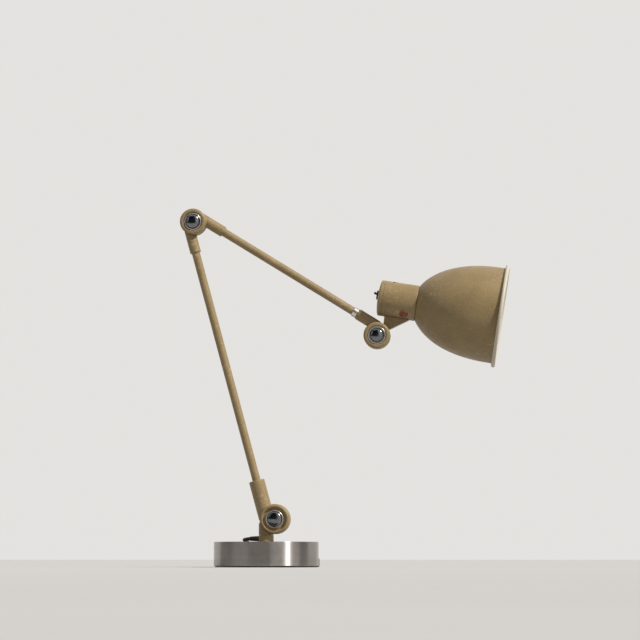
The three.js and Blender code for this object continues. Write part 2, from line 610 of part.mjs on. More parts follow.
function addSwitch(group) {
  const outside = -CAP_SAG - GAP;
  const bush = [
    [BUSH.bore, outside - BUSH.proud], [BUSH.ring, outside - BUSH.proud], [BUSH.ring, outside],
    [BUSH.radius, outside], [BUSH.radius, BUSH.back], [BUSH.bore, BUSH.back],
    [BUSH.bore, outside - BUSH.proud],
  ];
  addPart(group, 'switch_bush', solid(turnedOnX(bush, SMALL).translate(0, 0, SWITCH_RISE)), nickel);
  const box = new THREE.BoxGeometry(SWITCH_BOX.long, SWITCH_BOX.wide, SWITCH_BOX.high);
  const body = box.translate(BUSH.back + GAP + SWITCH_BOX.long / 2, 0, SWITCH_RISE);
  addPart(group, 'switch_body', solid(body), bakelite);

  // a ball in the bush's bore, and the lever out of it
  const ball = BUSH.bore - GAP;
  const lever = [];
  for (let i = 0; i <= LEVER_BALL_STEPS; i += 1) {
    const [along, out] = polar(ball, LEVER_BALL_END * (i / LEVER_BALL_STEPS));
    lever.push([out, along]);
  }
  lever[0][0] = 0;
  lever.push([LEVER.neck, -ball], [LEVER.tip, LEVER.tip - LEVER.long]);
  lever.push([LEVER.point, LEVER.tip - LEVER.point - LEVER.long], [0, -LEVER.long]);
  const turned = turnedOnX(lever, SMALL).rotateY(radians(LEVER.tilt));
  addPart(group, 'switch_lever', solid(turned.translate(LEVER.at, 0, SWITCH_RISE)), bakelite);
}

function addLampholder(group) {
  const flangeTo = HOUSING_FRONT - SHEET - GAP;
  const flangeFrom = flangeTo - HOLDER_FLANGE_THICK;
  const flange = HOUSING_BORE - HOLDER_FLANGE_CLEAR;
  const front = HOLDER_BACK + HOLDER_LONG;
  const socketFloor = HOLDER_BACK + SOCKET_FLOOR_THICK;
  const holder = [
    [0, HOLDER_BACK], [HOLDER_RADIUS, HOLDER_BACK], [HOLDER_RADIUS, flangeFrom],
    [flange, flangeFrom], [flange, flangeTo], [HOLDER_RADIUS, flangeTo], [HOLDER_RADIUS, front],
    [SOCKET_RADIUS, front], [SOCKET_RADIUS, socketFloor], [0, socketFloor],
  ];
  addPart(group, 'lampholder', solid(turnedOnX(holder, ARM_SIDES)), porcelain);

  const ringFrom = SHADE_BACK + SHEET + GAP;
  const ring = pipe(SHADE_RING_RADIUS, HOLDER_RADIUS + GAP, ringFrom, ringFrom + SHADE_RING_LONG);
  addPart(group, 'shade_ring', solid(turnedOnX(ring, ARM_SIDES)), porcelain);

  addBulb(group, socketFloor + GAP);
}

function addBulb(group, capFrom) {
  const capTo = capFrom + BULB_CAP.long;
  const capInside = BULB_CAP.radius - BULB_CAP.wall;
  const cap = [
    [0, capFrom], [BULB_CAP.point, capFrom], [BULB_CAP.radius, capFrom + BULB_CAP.taper],
    [BULB_CAP.radius, capTo], [capInside, capTo], [capInside, capFrom + BULB_CAP.taper],
    [0, capFrom + BULB_CAP.taper],
  ];
  addPart(group, 'bulb_cap', solid(turnedOnX(cap, SMALL)), brass);

  const neckFrom = capTo + GAP;
  const middle = neckFrom + BULB_LONG - BULB_RADIUS;
  const outer = [];
  const steps = 7;
  for (let i = 0; i <= steps; i += 1) {
    const [r, along] = polar(BULB_RADIUS, BULB_NECK_TURN + (90 - BULB_NECK_TURN) * (i / steps));
    outer.push([r, middle + along]);
  }
  outer[steps][0] = 0;
  const line = [[BULB_CAP.radius, neckFrom], ...outer];
  const inner = line.map(([r, s]) => {
    const fromMiddle = Math.hypot(r, s - middle);
    const keep = (fromMiddle - GLASS) / fromMiddle;
    return [r * keep, s < middle - BULB_RADIUS ? s : middle + (s - middle) * keep];
  });
  inner[0] = [BULB_CAP.radius - GLASS, neckFrom];
  addPart(group, 'bulb_glass', solid(turnedOnX([...inner.reverse(), ...line], ARM_SIDES)), glass);
}

// the front drum with the gusset that carries the housing, in the head's frame at the wrist pivot
function addHeadKnuckle(group) {
  const under = HEAD_RISE - HOUSING_RADIUS;
  const edge = WRIST_HUB.radius;
  const outline = [
    polar(BRACKET_ROOT, BRACKET.rearTurn), polar(edge, BRACKET.rearTurn), [BRACKET.back, HEAD_RISE],
    [BRACKET.reach, HEAD_RISE], [BRACKET.reach, under - GAP],
    polar(edge + BRACKET.frontOut, BRACKET.frontTurn), polar(BRACKET_ROOT, BRACKET.frontTurn),
  ];
  const gusset = solid(plate(outline, -BRACKET.half, BRACKET.half));
  const saddle = solid(turnedOnX(
    rod(HOUSING_RADIUS + GAP, 0, BRACKET.reach + OVERCUT), HOUSING_SIDES,
  ).translate(0, 0, HEAD_RISE));
  let shape = halfDrum(WRIST_HUB, -1).add(gusset).subtract(drumRoom(WRIST_HUB, 1))
    .subtract(saddle).subtract(recessAndBore(WRIST_HUB, -1));
  const tip = under - BRACKET_SCREW.grip;
  for (const at of BRACKET_SCREWS_AT) {
    const hole = turnedOnZ(rod(BRACKET_SCREW.radius + GAP, tip - GAP, HEAD_RISE), SMALL);
    shape = shape.subtract(solid(hole.translate(at, 0, 0)));
  }
  addPart(group, 'head_knuckle', shape, enamel);

  const curve = HOUSING_BORE - Math.sqrt(HOUSING_BORE ** 2 - BRACKET_SCREW.head ** 2);
  const seat = under + SHEET + curve + GAP;
  BRACKET_SCREWS_AT.forEach((at, i) => {
    const screw = [
      [0, tip], [BRACKET_SCREW.radius, tip], [BRACKET_SCREW.radius, seat],
      [BRACKET_SCREW.head, seat], [BRACKET_SCREW.head, seat + BRACKET_SCREW.thick],
      [0, seat + BRACKET_SCREW.thick],
    ];
    addPart(group, `bracket_screw_${i + 1}`, solid(turnedOnZ(screw, SMALL).translate(at, 0, 0)), zinc);
  });
}

// ---- flex, coil and plug ----
function tubeAlong(route, radius, steps) {
  const points = route.map(([x, y, z]) => new THREE.Vector3(x, y, z));
  const path = new THREE.CatmullRomCurve3(points);
  const section = new THREE.Shape();
  for (let i = 0; i < FLEX_SIDES; i += 1) {
    const place = polar(radius, (360 * i) / FLEX_SIDES);
    if (i === 0) section.moveTo(...place);
    else section.lineTo(...place);
  }
  section.closePath();
  return new THREE.ExtrudeGeometry(section, { steps, extrudePath: path, bevelEnabled: false });
}

function addFlex(group) {
  addPart(group, 'flex_lead', solid(tubeAlong(FLEX_ROUTE, FLEX_RADIUS, 26)), flexCover);
  addPart(group, 'flex_tail', solid(tubeAlong(TAIL_ROUTE, FLEX_RADIUS, 3)), flexCover);

  const half = ((COIL.turns - 1) / 2) * COIL.pitch + FLEX_RADIUS;
  const inner = COIL.mid - half;
  const outer = COIL.mid + half;
  const low = COIL.lift - FLEX_RADIUS;
  const high = COIL.lift + (COIL.layers - 1) * COIL.pitch + FLEX_RADIUS;
  const ring = [
    [inner + COIL.soft, low], [outer - COIL.soft, low], [outer, low + COIL.soft],
    [outer, high - COIL.soft], [outer - COIL.soft, high], [inner + COIL.soft, high],
    [inner, high - COIL.soft], [inner, low + COIL.soft], [inner + COIL.soft, low],
  ];
  const coil = turnedOnZ(ring, ARM_SIDES).translate(COIL.x, COIL.y, 0);
  addPart(group, 'flex_coil', solid(coil), flexCover);

  const left = inner - TIE.slack;
  const right = outer + TIE.slack;
  const top = high + TIE.slack;
  const band = [
    [left - TIE.thick, low], [left, low], [left, top], [right, top], [right, low],
    [right + TIE.thick, low], [right + TIE.thick, top + TIE.thick], [left - TIE.thick, top + TIE.thick],
  ];
  const tie = plate(band, -TIE.wide / 2, TIE.wide / 2).rotateZ(-Math.PI / 2);
  addPart(group, 'coil_tie', solid(tie.translate(COIL.x, COIL.y, 0)), flexCover);
}

function addPlug(group) {
  const back = PLUG_AT.face + PLUG.long;
  const middle = PLUG_AT.lift + PLUG.thick / 2;
  const rightSide = [
    [PLUG.wide / 2, 0], [PLUG.wide / 2, PLUG.shoulder], [PLUG.waist / 2, PLUG.waistAt],
    [PLUG.waist / 2 - PLUG_CORNER, PLUG.long],
  ];
  const leftSide = rightSide.map(([x, y]) => [-x, y]).reverse();
  const outline = [...rightSide, ...leftSide].map(([x, y]) => new THREE.Vector2(x, y));
  const flat = new THREE.ExtrudeGeometry(
    new THREE.Shape(outline), { depth: PLUG.thick, bevelEnabled: false },
  );
  const body = solid(flat.translate(PLUG_AT.x, PLUG_AT.face, PLUG_AT.lift));
  const neck = solid(turnedOnY([
    [0, back - OVERCUT], [PLUG_NECK.radius, back - OVERCUT],
    [FLEX_RADIUS + 2 * GAP, back + PLUG_NECK.long], [0, back + PLUG_NECK.long],
  ], SMALL).translate(PLUG_AT.x, 0, middle));
  let shape = body.add(neck);
  const pinSides = [-PIN.spacing / 2, PIN.spacing / 2];
  for (const side of pinSides) {
    const hole = rod(PIN.radius + GAP, PLUG_AT.face - OVERCUT, PLUG_AT.face + PIN.socket);
    shape = shape.subtract(solid(turnedOnY(hole, SMALL).translate(PLUG_AT.x + side, 0, middle)));
  }
  addPart(group, 'plug_body', shape, bakelite);
  pinSides.forEach((side, i) => {
    const from = PLUG_AT.face - PIN.long;
    const to = PLUG_AT.face + PIN.socket - GAP;
    const profile = [
      [0, from], [PIN.point, from], [PIN.radius, from + PIN.pointLong], [PIN.radius, to], [0, to],
    ];
    const pin = turnedOnY(profile, SMALL).translate(PLUG_AT.x + side, 0, middle);
    addPart(group, `plug_pin_${i + 1}`, solid(pin), brass);
  });
}

// ---- assembly ----
const lamp = new THREE.Group();

const footGroup = new THREE.Group();
lamp.add(footGroup);
addFoot(footGroup);
addFlex(footGroup);
addPlug(footGroup);

const standGroup = new THREE.Group();
lamp.add(standGroup);
addSwivelBolt(standGroup);
addBaseKnuckle(standGroup);

const elbow = { x: LOWER_LENGTH, z: BASE_SLEEVE.offset - ELBOW_LOW_SLEEVE.offset };
const lowerArm = new THREE.Group();
lowerArm.position.set(BASE_PIVOT.x, 0, BASE_PIVOT.z);
lowerArm.rotation.y = -radians(LOWER_ANGLE);
lamp.add(lowerArm);
addLowerArm(lowerArm, elbow);

const wrist = { x: UPPER_LENGTH, z: ELBOW_TOP_SLEEVE.offset - WRIST_SLEEVE.offset };
const upperArm = new THREE.Group();
upperArm.position.set(elbow.x, 0, elbow.z);
upperArm.rotation.y = radians(LOWER_ANGLE - UPPER_ANGLE);
lowerArm.add(upperArm);
addUpperArm(upperArm, wrist);
addWristKnuckle(upperArm, wrist);

const head = new THREE.Group();
head.position.set(wrist.x, 0, wrist.z);
head.rotation.y = radians(UPPER_ANGLE - HEAD_ANGLE);
upperArm.add(head);
addHeadKnuckle(head);

const housingGroup = new THREE.Group();
housingGroup.position.set(HEAD_BACK, 0, HEAD_RISE);
head.add(housingGroup);
addHousing(housingGroup);
addEndCap(housingGroup);
addSwitch(housingGroup);
addLampholder(housingGroup);
addShade(housingGroup);

const ownOrigin = { x: 0, z: 0 };
addPivot(lowerArm, ownOrigin, standGroup, BASE_PIVOT, BASE_HUB, 'base_pivot');
addPivot(upperArm, ownOrigin, lowerArm, elbow, ELBOW_HUB, 'elbow_pivot');
addPivot(head, ownOrigin, upperArm, wrist, WRIST_HUB, 'wrist_pivot');

export default lamp;
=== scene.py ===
import json
import math

import bmesh
import bpy
from mathutils import Matrix, Vector, noise


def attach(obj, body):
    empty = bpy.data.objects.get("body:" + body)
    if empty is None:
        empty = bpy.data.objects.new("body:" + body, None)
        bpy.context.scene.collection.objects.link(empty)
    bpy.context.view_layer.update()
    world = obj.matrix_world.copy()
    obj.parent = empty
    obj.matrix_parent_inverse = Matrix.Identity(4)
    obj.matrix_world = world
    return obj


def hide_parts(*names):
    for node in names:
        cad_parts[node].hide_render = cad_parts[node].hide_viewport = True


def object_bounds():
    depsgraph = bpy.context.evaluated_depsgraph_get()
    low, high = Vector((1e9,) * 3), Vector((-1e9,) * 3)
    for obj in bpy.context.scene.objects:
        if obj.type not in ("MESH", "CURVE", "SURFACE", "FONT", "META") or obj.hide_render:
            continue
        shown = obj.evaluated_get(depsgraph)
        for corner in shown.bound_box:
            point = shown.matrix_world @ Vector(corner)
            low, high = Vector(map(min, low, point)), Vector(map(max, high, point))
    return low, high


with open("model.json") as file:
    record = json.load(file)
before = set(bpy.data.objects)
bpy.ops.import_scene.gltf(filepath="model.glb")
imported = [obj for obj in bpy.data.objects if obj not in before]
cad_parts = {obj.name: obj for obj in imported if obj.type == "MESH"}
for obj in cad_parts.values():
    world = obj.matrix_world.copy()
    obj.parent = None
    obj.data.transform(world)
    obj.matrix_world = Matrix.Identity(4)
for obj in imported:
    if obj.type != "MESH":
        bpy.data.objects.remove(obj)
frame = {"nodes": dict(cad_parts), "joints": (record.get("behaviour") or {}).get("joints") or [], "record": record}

cad_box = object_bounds()

# ---- sizes in millimetres, and turns in degrees up from +X ----
MM = 0.001
LOWER_TURN = 105.1
UPPER_TURN = -31.7
HEAD_TURN = -9.0

# foot
FELT = {"radius": 76.5, "top": 1.7}
DISC = {"radius": 78.5, "bottom": 2.0, "top": 38.0, "well": 14.0, "well_top": 14.0, "hole": 5.15}
FOOT = {"radius": 11.2, "bore": 7.5, "bottom": 38.3, "top": 48.2}
STUB = {"top": 69.0, "round": 5.0, "spigot": 7.2}

# knuckle pairs: drum radius, half thickness, rounded edge and front recess, then the ring in the
# recess with its raised lip, and the cap inside the ring
BASE_HUB = {
    "radius": 22.5, "half": 17.0, "round": 3.7, "recess": 18.0, "ring": 13.5, "lip": 11.5, "cap": 11.0,
}
ELBOW_HUB = {
    "radius": 19.7, "half": 15.0, "round": 3.3, "recess": 14.0, "ring": 13.5, "lip": 11.0, "cap": 10.2,
}
WRIST_HUB = {
    "radius": 20.0, "half": 15.0, "round": 3.6, "recess": 14.0, "ring": 13.5, "lip": 11.5, "cap": 9.75,
}
RING_PROUD = 0.4
LIP_WIDE = 1.9
LIP_HIGH = 2.4
CAP_CROWN = 3.6
CAP_STEPS = 14
HALF_LAP = 0.8
RECESS_DEPTH = 4.5
NUT_RECESS = 11.4
DRUM_CLEAR = 0.5
HEEL_SHARE = 0.55
BOLT = {"radius": 3.8, "past": 1.0, "bore": 4.3}
DISC_HALF = 0.5
WASHER = {"radius": 10.4, "thick": 1.6}
NUT = {"corner": 8.4, "low": 1.9, "high": 7.3}

# sleeves: radius, offset from the pivot, and along the arm the heel, the socket's stop and the end
BASE_SLEEVE = {"radius": 11.8, "offset": 12.2, "heel": 4.0, "stop": 28.0, "reach": 63.0}
ELBOW_LOW_SLEEVE = {"radius": 8.25, "offset": 8.8, "heel": 2.0, "stop": 26.0, "reach": 46.0}
ELBOW_TOP_SLEEVE = {"radius": 8.25, "offset": 11.0, "heel": 2.0, "stop": 26.0, "reach": 46.7}
WRIST_SLEEVE = {"radius": 8.4, "offset": 12.6, "heel": 6.0, "stop": 27.0, "reach": 42.0}

TUBE_RADIUS = 6.15
TUBE_BORE = 4.95
LOWER_LENGTH = 465.0
UPPER_LENGTH = 327.0
COLLAR = {"radius": 7.5, "long": 7.5, "journal": 4.6, "reach": 14.0, "bore": 2.6}

# gaps between pieces, and how far a cutter runs past what it cuts
FIT = 0.3
SLIP = 0.15
CUT_PAST = 8.0
CUT_WIDE = 40.0

# head: s runs along its axis from the housing's rear edge
HEAD_BACK = -3.4
HEAD_RISE = 57.1
GUSSET = {
    "root": 11.0, "rear_turn": 69.3, "front_turn": 34.3, "toe": 2.2, "rear": 5.3, "front": 43.8,
    "half": 7.0,
}
HOUSING = {"radius": 26.85, "sheet": 1.2, "back": 4.3, "front": 55.7, "neck": 20.5}
SHEET = 1.2
END_CAP = {"sag": 4.5, "skirt": 4.0, "spigot": 21.5, "steps": 20}
SCREW = {"at": 17.5, "turns": (-18, 112), "hole": 2.9, "shank": 1.4, "head": 2.6, "half_slot": 0.4}
GROMMET = {"at": 38.5, "turn": -139.0, "hole": 5.0, "neck": 4.6, "brim": 6.5}
SWITCH = {"rise": 3.5, "hole": 5.7, "bore": 3.9, "collar": 7.0, "bush": 5.6, "face": -4.8, "lean": 15.0}
HOLDER = {"radius": 19.2, "flange": 22.6, "back": 28.0, "front": 66.0, "bore": 14.0, "floor": 36.0}
CLAMP = {"bore": 19.5, "radius": 24.0, "back": 57.5, "front": 62.9, "grips": 18, "grip_at": 24.4}
BULB = {"cap": 13.2, "thread": 12.2, "pitch": 3.0, "turns": 7, "back": 36.3, "neck": 63.3}
GLASS = {"radius": 30.0, "middle": 112.6, "neck": 13.0, "back": 63.6, "wall": 1.0, "steps": 8}
SHADE = {"back": 56.0, "mouth": 174.0, "radius": 72.0, "neck": 26.7, "throat": 19.7, "power": 2.2}
SHADE_SHOULDER = 24.6
SHADE_STEPS = 56
SWELLS = ((0.024, 0.22), (0.07, 0.06))
BEAD = {"at": 182.0, "centre": 74.8, "radius": 3.0, "from": 213, "sweep": 327, "steps": 24}
CREAM_PAST = 2.4

# flex
FLEX_RADIUS = 2.5
FLEX_EXIT_TURN = 145.0
FLEX_HEIGHT = 42.8
RELIEF = {"root": 11.3, "tip": 31.5, "collar": 4.4, "collar_long": 1.8, "end": 3.15}
GROOVES = {"count": 5, "from": 4.2, "pitch": 3, "radius": 4.0, "taper": 0.13, "deep": 0.5}
COIL = {"x": 15.4, "y": 172.0, "outer": 40.9, "pitch": 5.2, "turns": 5, "lift": 2.8}
COIL_TURNS = 8.5
COIL_STEPS = 20
TIE = {"wide": 8.0, "thick": 0.9, "round": 3.0}
PLUG = {"x": 56.3, "face": 90.0, "long": 36.0, "wide": 35.0, "waist": 17.0, "thick": 13.7, "lift": 0.3}
PLUG_RIBS = {"from": 1.5, "pitch": 2.2, "count": 3, "radius": 5.0, "taper": 0.13, "wide": 1.0}
PIN = {"radius": 2.0, "long": 19.0, "round": 1.2, "root": 1.6, "spacing": 19.0}


def radians(degrees):
    return math.radians(degrees)


def polar(distance, degrees):
    return distance * math.cos(radians(degrees)), distance * math.sin(radians(degrees))


# ---- frames of the arms ----
pivots = {joint["name"]: Vector(joint["pos_m"]) for joint in frame["joints"]}


def arm_frame(pivot, degrees):
    """Millimetres at a pivot, with X along an arm that is turned up from +X."""
    turn = Matrix.Rotation(-radians(degrees), 4, "Y")
    return Matrix.Translation(pivots[pivot]) @ turn @ Matrix.Scale(MM, 4)


TABLE = Matrix.Scale(MM, 4)
STAND = Matrix.Translation(pivots["base_tilt"]) @ Matrix.Scale(MM, 4)
LOWER = arm_frame("base_tilt", LOWER_TURN)
ELBOW_LOW = arm_frame("elbow", LOWER_TURN)
UPPER = arm_frame("elbow", UPPER_TURN)
WRIST = arm_frame("head_tilt", UPPER_TURN)
HEAD = arm_frame("head_tilt", HEAD_TURN)
AXIS = HEAD @ Matrix.Translation((HEAD_BACK, 0, HEAD_RISE))


# ---- camera ----
CAMERA = {"lens": 168.75, "film": 36.0, "place": (0.3554, -4.4916, 0.012), "pitch": 94.56, "turn": 3.5}


def add_camera():
    """A long lens level with the table, tilted up a little and turned a little to the left."""
    data = bpy.data.cameras.new("camera")
    data.lens = CAMERA["lens"]
    data.sensor_width = CAMERA["film"]
    camera = bpy.data.objects.new("camera", data)
    camera.location = CAMERA["place"]
    camera.rotation_euler = (radians(CAMERA["pitch"]), 0, radians(CAMERA["turn"]))
    bpy.context.scene.collection.objects.link(camera)
    bpy.context.scene.camera = camera


add_camera()


# ---- finishes ----
class Finish:
    """A surface built up by nodes on one Principled shader, in the object's own metres."""

    def __init__(self, name, **sockets):
        self.material = bpy.data.materials.new(name)
        self.material.use_nodes = True
        self.nodes = self.material.node_tree.nodes
        self.links = self.material.node_tree.links
        self.shader = self.nodes["Principled BSDF"]
        for socket, value in sockets.items():
            self.shader.inputs[socket.replace("_", " ")].default_value = value
        self.place = self.node("ShaderNodeTexCoord").outputs["Object"]

    def node(self, kind, inputs=None, **settings):
        made = self.nodes.new(kind)
        for name, value in settings.items():
            setattr(made, name, value)
        for socket, value in (inputs or {}).items():
            if isinstance(value, bpy.types.NodeSocket):
                self.links.new(value, made.inputs[socket])
            else:
                made.inputs[socket].default_value = value
        return made

    def grain(self, scale, detail=2.0, rough=0.5, at=None, lean=0.0):
        """Soft noise from 0 to 1; scale is cells to the metre."""
        inputs = {"Vector": at or self.place, "Scale": scale, "Detail": detail}
        inputs.update({"Roughness": rough, "Distortion": lean})
        return self.node("ShaderNodeTexNoise", inputs).outputs["Fac"]

    def stretched(self, x, y, z):
        """The object's own place, drawn out by a share along each axis."""
        inputs = {"Vector": self.place, "Scale": (x, y, z)}
        return self.node("ShaderNodeMapping", inputs).outputs["Vector"]

    def spread(self, value, low, high, to_low=0.0, to_high=1.0):
        """Maps low..high of a value onto to_low..to_high, and clips it there."""
        inputs = {"Value": value, "From Min": low, "From Max": high}
        inputs.update({"To Min": to_low, "To Max": to_high})
        return self.node("ShaderNodeMapRange", inputs).outputs["Result"]

    def mixed(self, share, below, above):
        """One colour over another by a share; a Mix node's colour sockets are 6 and 7, and 2 out."""
        made = self.node("ShaderNodeMix", data_type="RGBA")
        for socket, value in ((made.inputs[0], share), (made.inputs[6], below), (made.inputs[7], above)):
            if isinstance(value, bpy.types.NodeSocket):
                self.links.new(value, socket)
            else:
                socket.default_value = value
        return made.outputs[2]

    def maths(self, operation, first, second=0.0):
        made = self.node("ShaderNodeMath", {0: first, 1: second}, operation=operation)
        return made.outputs["Value"]

    def set(self, socket, value):
        self.links.new(value, self.shader.inputs[socket])

    def relief(self, *layers):
        """Bump layers of (height, strength, depth in metres), one over another."""
        normal = None
        for height, strength, depth in layers:
            inputs = {"Height": height, "Strength": strength, "Distance": depth}
            if normal:
                inputs["Normal"] = normal
            normal = self.node("ShaderNodeBump", inputs).outputs["Normal"]
        self.set("Normal", normal)

    def edges(self, low, high):
        """1 on the outside edges of a finely meshed piece, 0 on its faces."""
        return self.spread(self.node("ShaderNodeNewGeometry").outputs["Pointiness"], low, high)


def colour(red, green, blue):
    return red, green, blue, 1.0


def enamel(name, deep, plain, fleck_and_highlight, worn):
    """Hammered stoving enamel: mottled peel, flecks, scuffs, chips, and convex edges painted lighter in patches,
    partly rubbing wear and partly a painted highlight.
    """
    made = Finish(name, Specular_IOR_Level=0.42)
    cloud = made.spread(made.grain(26, 3), 0.35, 0.65)
    mottle = made.spread(made.grain(430, 4, 0.65), 0.36, 0.64)
    paint = made.mixed(made.maths("ADD", made.maths("MULTIPLY", cloud, 0.6),
                                  made.maths("MULTIPLY", mottle, 0.4)), deep, plain)
    flecks = made.spread(made.grain(700, 3, 0.6, None, 0.4), 0.58, 0.70)
    paint = made.mixed(made.maths("MULTIPLY", flecks, 0.55), paint, fleck_and_highlight)
    pits = made.spread(made.grain(620, 3, 0.7, None, 0.8), 0.40, 0.30)
    paint = made.mixed(made.maths("MULTIPLY", pits, 0.35), paint, worn)
    line = made.grain(55, 2, 0.5, made.stretched(1.0, 1.6, 3.0), 0.9)
    near = made.maths("ABSOLUTE", made.maths("SUBTRACT", line, 0.5))
    patch = made.spread(made.grain(22, 1), 0.50, 0.62)
    scuff = made.maths("MULTIPLY", made.spread(near, 0.034, 0.010), patch)
    scuff = made.maths("MULTIPLY", scuff, made.spread(made.grain(190, 2), 0.46, 0.60))
    paint = made.mixed(made.maths("MULTIPLY", scuff, 0.8), paint, fleck_and_highlight)
    chips = made.spread(made.grain(260, 4, 0.7), 0.74, 0.76)
    paint = made.mixed(chips, paint, worn)
    # convex edges lightened in patches: rubbing wear, and a painted highlight along the edges
    worn_highlit_edges = made.maths("MULTIPLY", made.edges(0.515, 0.56), made.spread(made.grain(240, 3), 0.40, 0.6))
    paint = made.mixed(made.maths("MULTIPLY", worn_highlit_edges, 0.6), paint, fleck_and_highlight)
    made.set("Base Color", paint)
    rough = made.spread(made.grain(90, 4), 0.3, 0.7, 0.36, 0.52)
    made.set("Roughness", made.maths("ADD", rough, made.maths("MULTIPLY", scuff, 0.12)))
    peel = made.grain(300, 2, 0.45)
    made.relief((peel, 0.35, 0.0008), (mottle, 0.18, 0.0003), (chips, -0.4, 0.0002))
    return made.material


def turned_steel():
    """Lathe-turned steel: rings that follow radius and height, with faint handling marks."""
    made = Finish("turned_steel", Metallic=1.0, Anisotropic=1.0, Anisotropic_Rotation=0.25)
    split = made.node("ShaderNodeSeparateXYZ", {"Vector": made.place})
    flat = made.node("ShaderNodeCombineXYZ", {"X": split.outputs["X"], "Y": split.outputs["Y"]})
    radius = made.node("ShaderNodeVectorMath", {0: flat.outputs[0]}, operation="LENGTH").outputs["Value"]
    around = made.node(
        "ShaderNodeVectorMath", {0: (0, 0, 1), 1: flat.outputs[0]}, operation="CROSS_PRODUCT",
    ).outputs["Vector"]
    made.set("Tangent", made.node("ShaderNodeVectorMath", {0: around}, operation="NORMALIZE").outputs[0])
    lathe_place = made.node("ShaderNodeCombineXYZ", {"X": radius, "Y": split.outputs["Z"]}).outputs[0]
    rings = made.grain(2600, 3, 0.6, lathe_place)
    bands = made.grain(260, 2, 0.5, lathe_place)
    stain = made.spread(made.grain(34, 4, 0.6), 0.45, 0.75)
    metal = made.mixed(bands, colour(0.31, 0.288, 0.270), colour(0.43, 0.403, 0.380))
    metal = made.mixed(made.maths("MULTIPLY", stain, 0.35), metal, colour(0.21, 0.187, 0.172))
    made.set("Base Color", metal)
    rough = made.spread(rings, 0.3, 0.7, 0.28, 0.34)
    made.set("Roughness", made.maths("ADD", rough, made.maths("MULTIPLY", stain, 0.10)))
    made.relief((rings, 0.10, 0.0001), (bands, 0.05, 0.0002))
    return made.material


def plated(name, dull, bright, low, high):
    """A plated metal with wiping marks and small pits."""
    made = Finish(name, Metallic=1.0)
    haze = made.spread(made.grain(170, 4, 0.6), 0.35, 0.7)
    wiped = made.grain(900, 2, 0.5, made.stretched(1.0, 0.2, 4.0))
    made.set("Base Color", made.mixed(haze, bright, dull))
    rough = made.spread(haze, 0.0, 1.0, low, high)
    made.set("Roughness", made.maths("ADD", rough, made.maths("MULTIPLY", wiped, 0.06)))
    pits = made.spread(made.grain(1500, 1), 0.70, 0.76)
    made.relief((wiped, 0.04, 0.0001), (pits, -0.15, 0.0001))
    return made.material


def moulded(name, deep, plain, low, high, scale):
    """Plastic, fibre, porcelain or the flex's cover: a little clouded, and matted by handling."""
    made = Finish(name)
    cloud = made.spread(made.grain(scale, 4, 0.6), 0.3, 0.7)
    made.set("Base Color", made.mixed(cloud, deep, plain))
    made.set("Roughness", made.spread(made.grain(scale * 3, 3), 0.3, 0.7, low, high))
    made.relief((made.grain(scale * 9, 2), 0.10, 0.0002))
    return made.material


def felt_finish():
    made = Finish("felt", Roughness=0.95, Sheen_Weight=0.35)
    wool = made.grain(1400, 5, 0.7, None, 1.2)
    made.set("Base Color", made.mixed(wool, colour(0.018, 0.03, 0.02), colour(0.07, 0.10, 0.07)))
    made.relief((wool, 0.6, 0.0006))
    return made.material


def opal_glass():
    made = Finish("opal_glass", Coat_Weight=0.6, Coat_Roughness=0.06, Subsurface_Weight=0.15)
    made.shader.inputs["Subsurface Radius"].default_value = (0.01, 0.01, 0.008)
    cloud = made.spread(made.grain(60, 3), 0.3, 0.7)
    made.set("Base Color", made.mixed(cloud, colour(0.86, 0.84, 0.78), colour(0.92, 0.91, 0.87)))
    made.set("Roughness", made.spread(made.grain(300, 2), 0.3, 0.7, 0.22, 0.32))
    return made.material


FINISHES = {
    "enamel": enamel(
        "enamel", colour(0.30, 0.212, 0.094), colour(0.40, 0.290, 0.140), colour(0.60, 0.48, 0.29),
        colour(0.13, 0.090, 0.048),
    ),
    "turned_steel": turned_steel(),
    "felt": felt_finish(),
    # the chrome is given a dark colour: a painted reflection of a dark room, so the caps stay dark under pale
    # light
    "chrome": plated("chrome", colour(0.15, 0.154, 0.165), colour(0.23, 0.237, 0.252), 0.08, 0.20),
    "nickel": plated("nickel", colour(0.50, 0.47, 0.43), colour(0.70, 0.67, 0.62), 0.22, 0.36),
    "zinc": plated("zinc", colour(0.30, 0.28, 0.26), colour(0.50, 0.48, 0.46), 0.35, 0.5),
    "brass": plated("brass", colour(0.40, 0.27, 0.10), colour(0.66, 0.50, 0.24), 0.25, 0.42),
    "fibre": moulded("fibre", colour(0.20, 0.14, 0.08), colour(0.34, 0.25, 0.16), 0.7, 0.9, 300),
    "flex_cover": moulded(
        "flex_cover", colour(0.035, 0.015, 0.011), colour(0.066, 0.030, 0.021), 0.45, 0.62, 260,
    ),
    "bakelite": moulded("bakelite", colour(0.07, 0.02, 0.013), colour(0.12, 0.038, 0.024), 0.22, 0.36, 120),
    "red_plastic": moulded(
        "red_plastic", colour(0.20, 0.050, 0.026), colour(0.30, 0.082, 0.040), 0.35, 0.5, 200,
    ),
    "porcelain": moulded("porcelain", colour(0.74, 0.71, 0.65), colour(0.83, 0.81, 0.76), 0.16, 0.28, 90),
    "opal_glass": opal_glass(),
}
# a near-black metal that paints in shade: on the cap screws it stands for the shadow in their holes, and on the
# switch bush for the shadow on the cap's rear
SHADE_DARK_METAL = plated("shade_dark_metal", colour(0.035, 0.030, 0.026), colour(0.09, 0.08, 0.07), 0.4, 0.55)
CREAM = enamel(
    "cream_enamel", colour(0.68, 0.62, 0.48), colour(0.76, 0.71, 0.57), colour(0.84, 0.80, 0.68),
    colour(0.42, 0.35, 0.24),
)


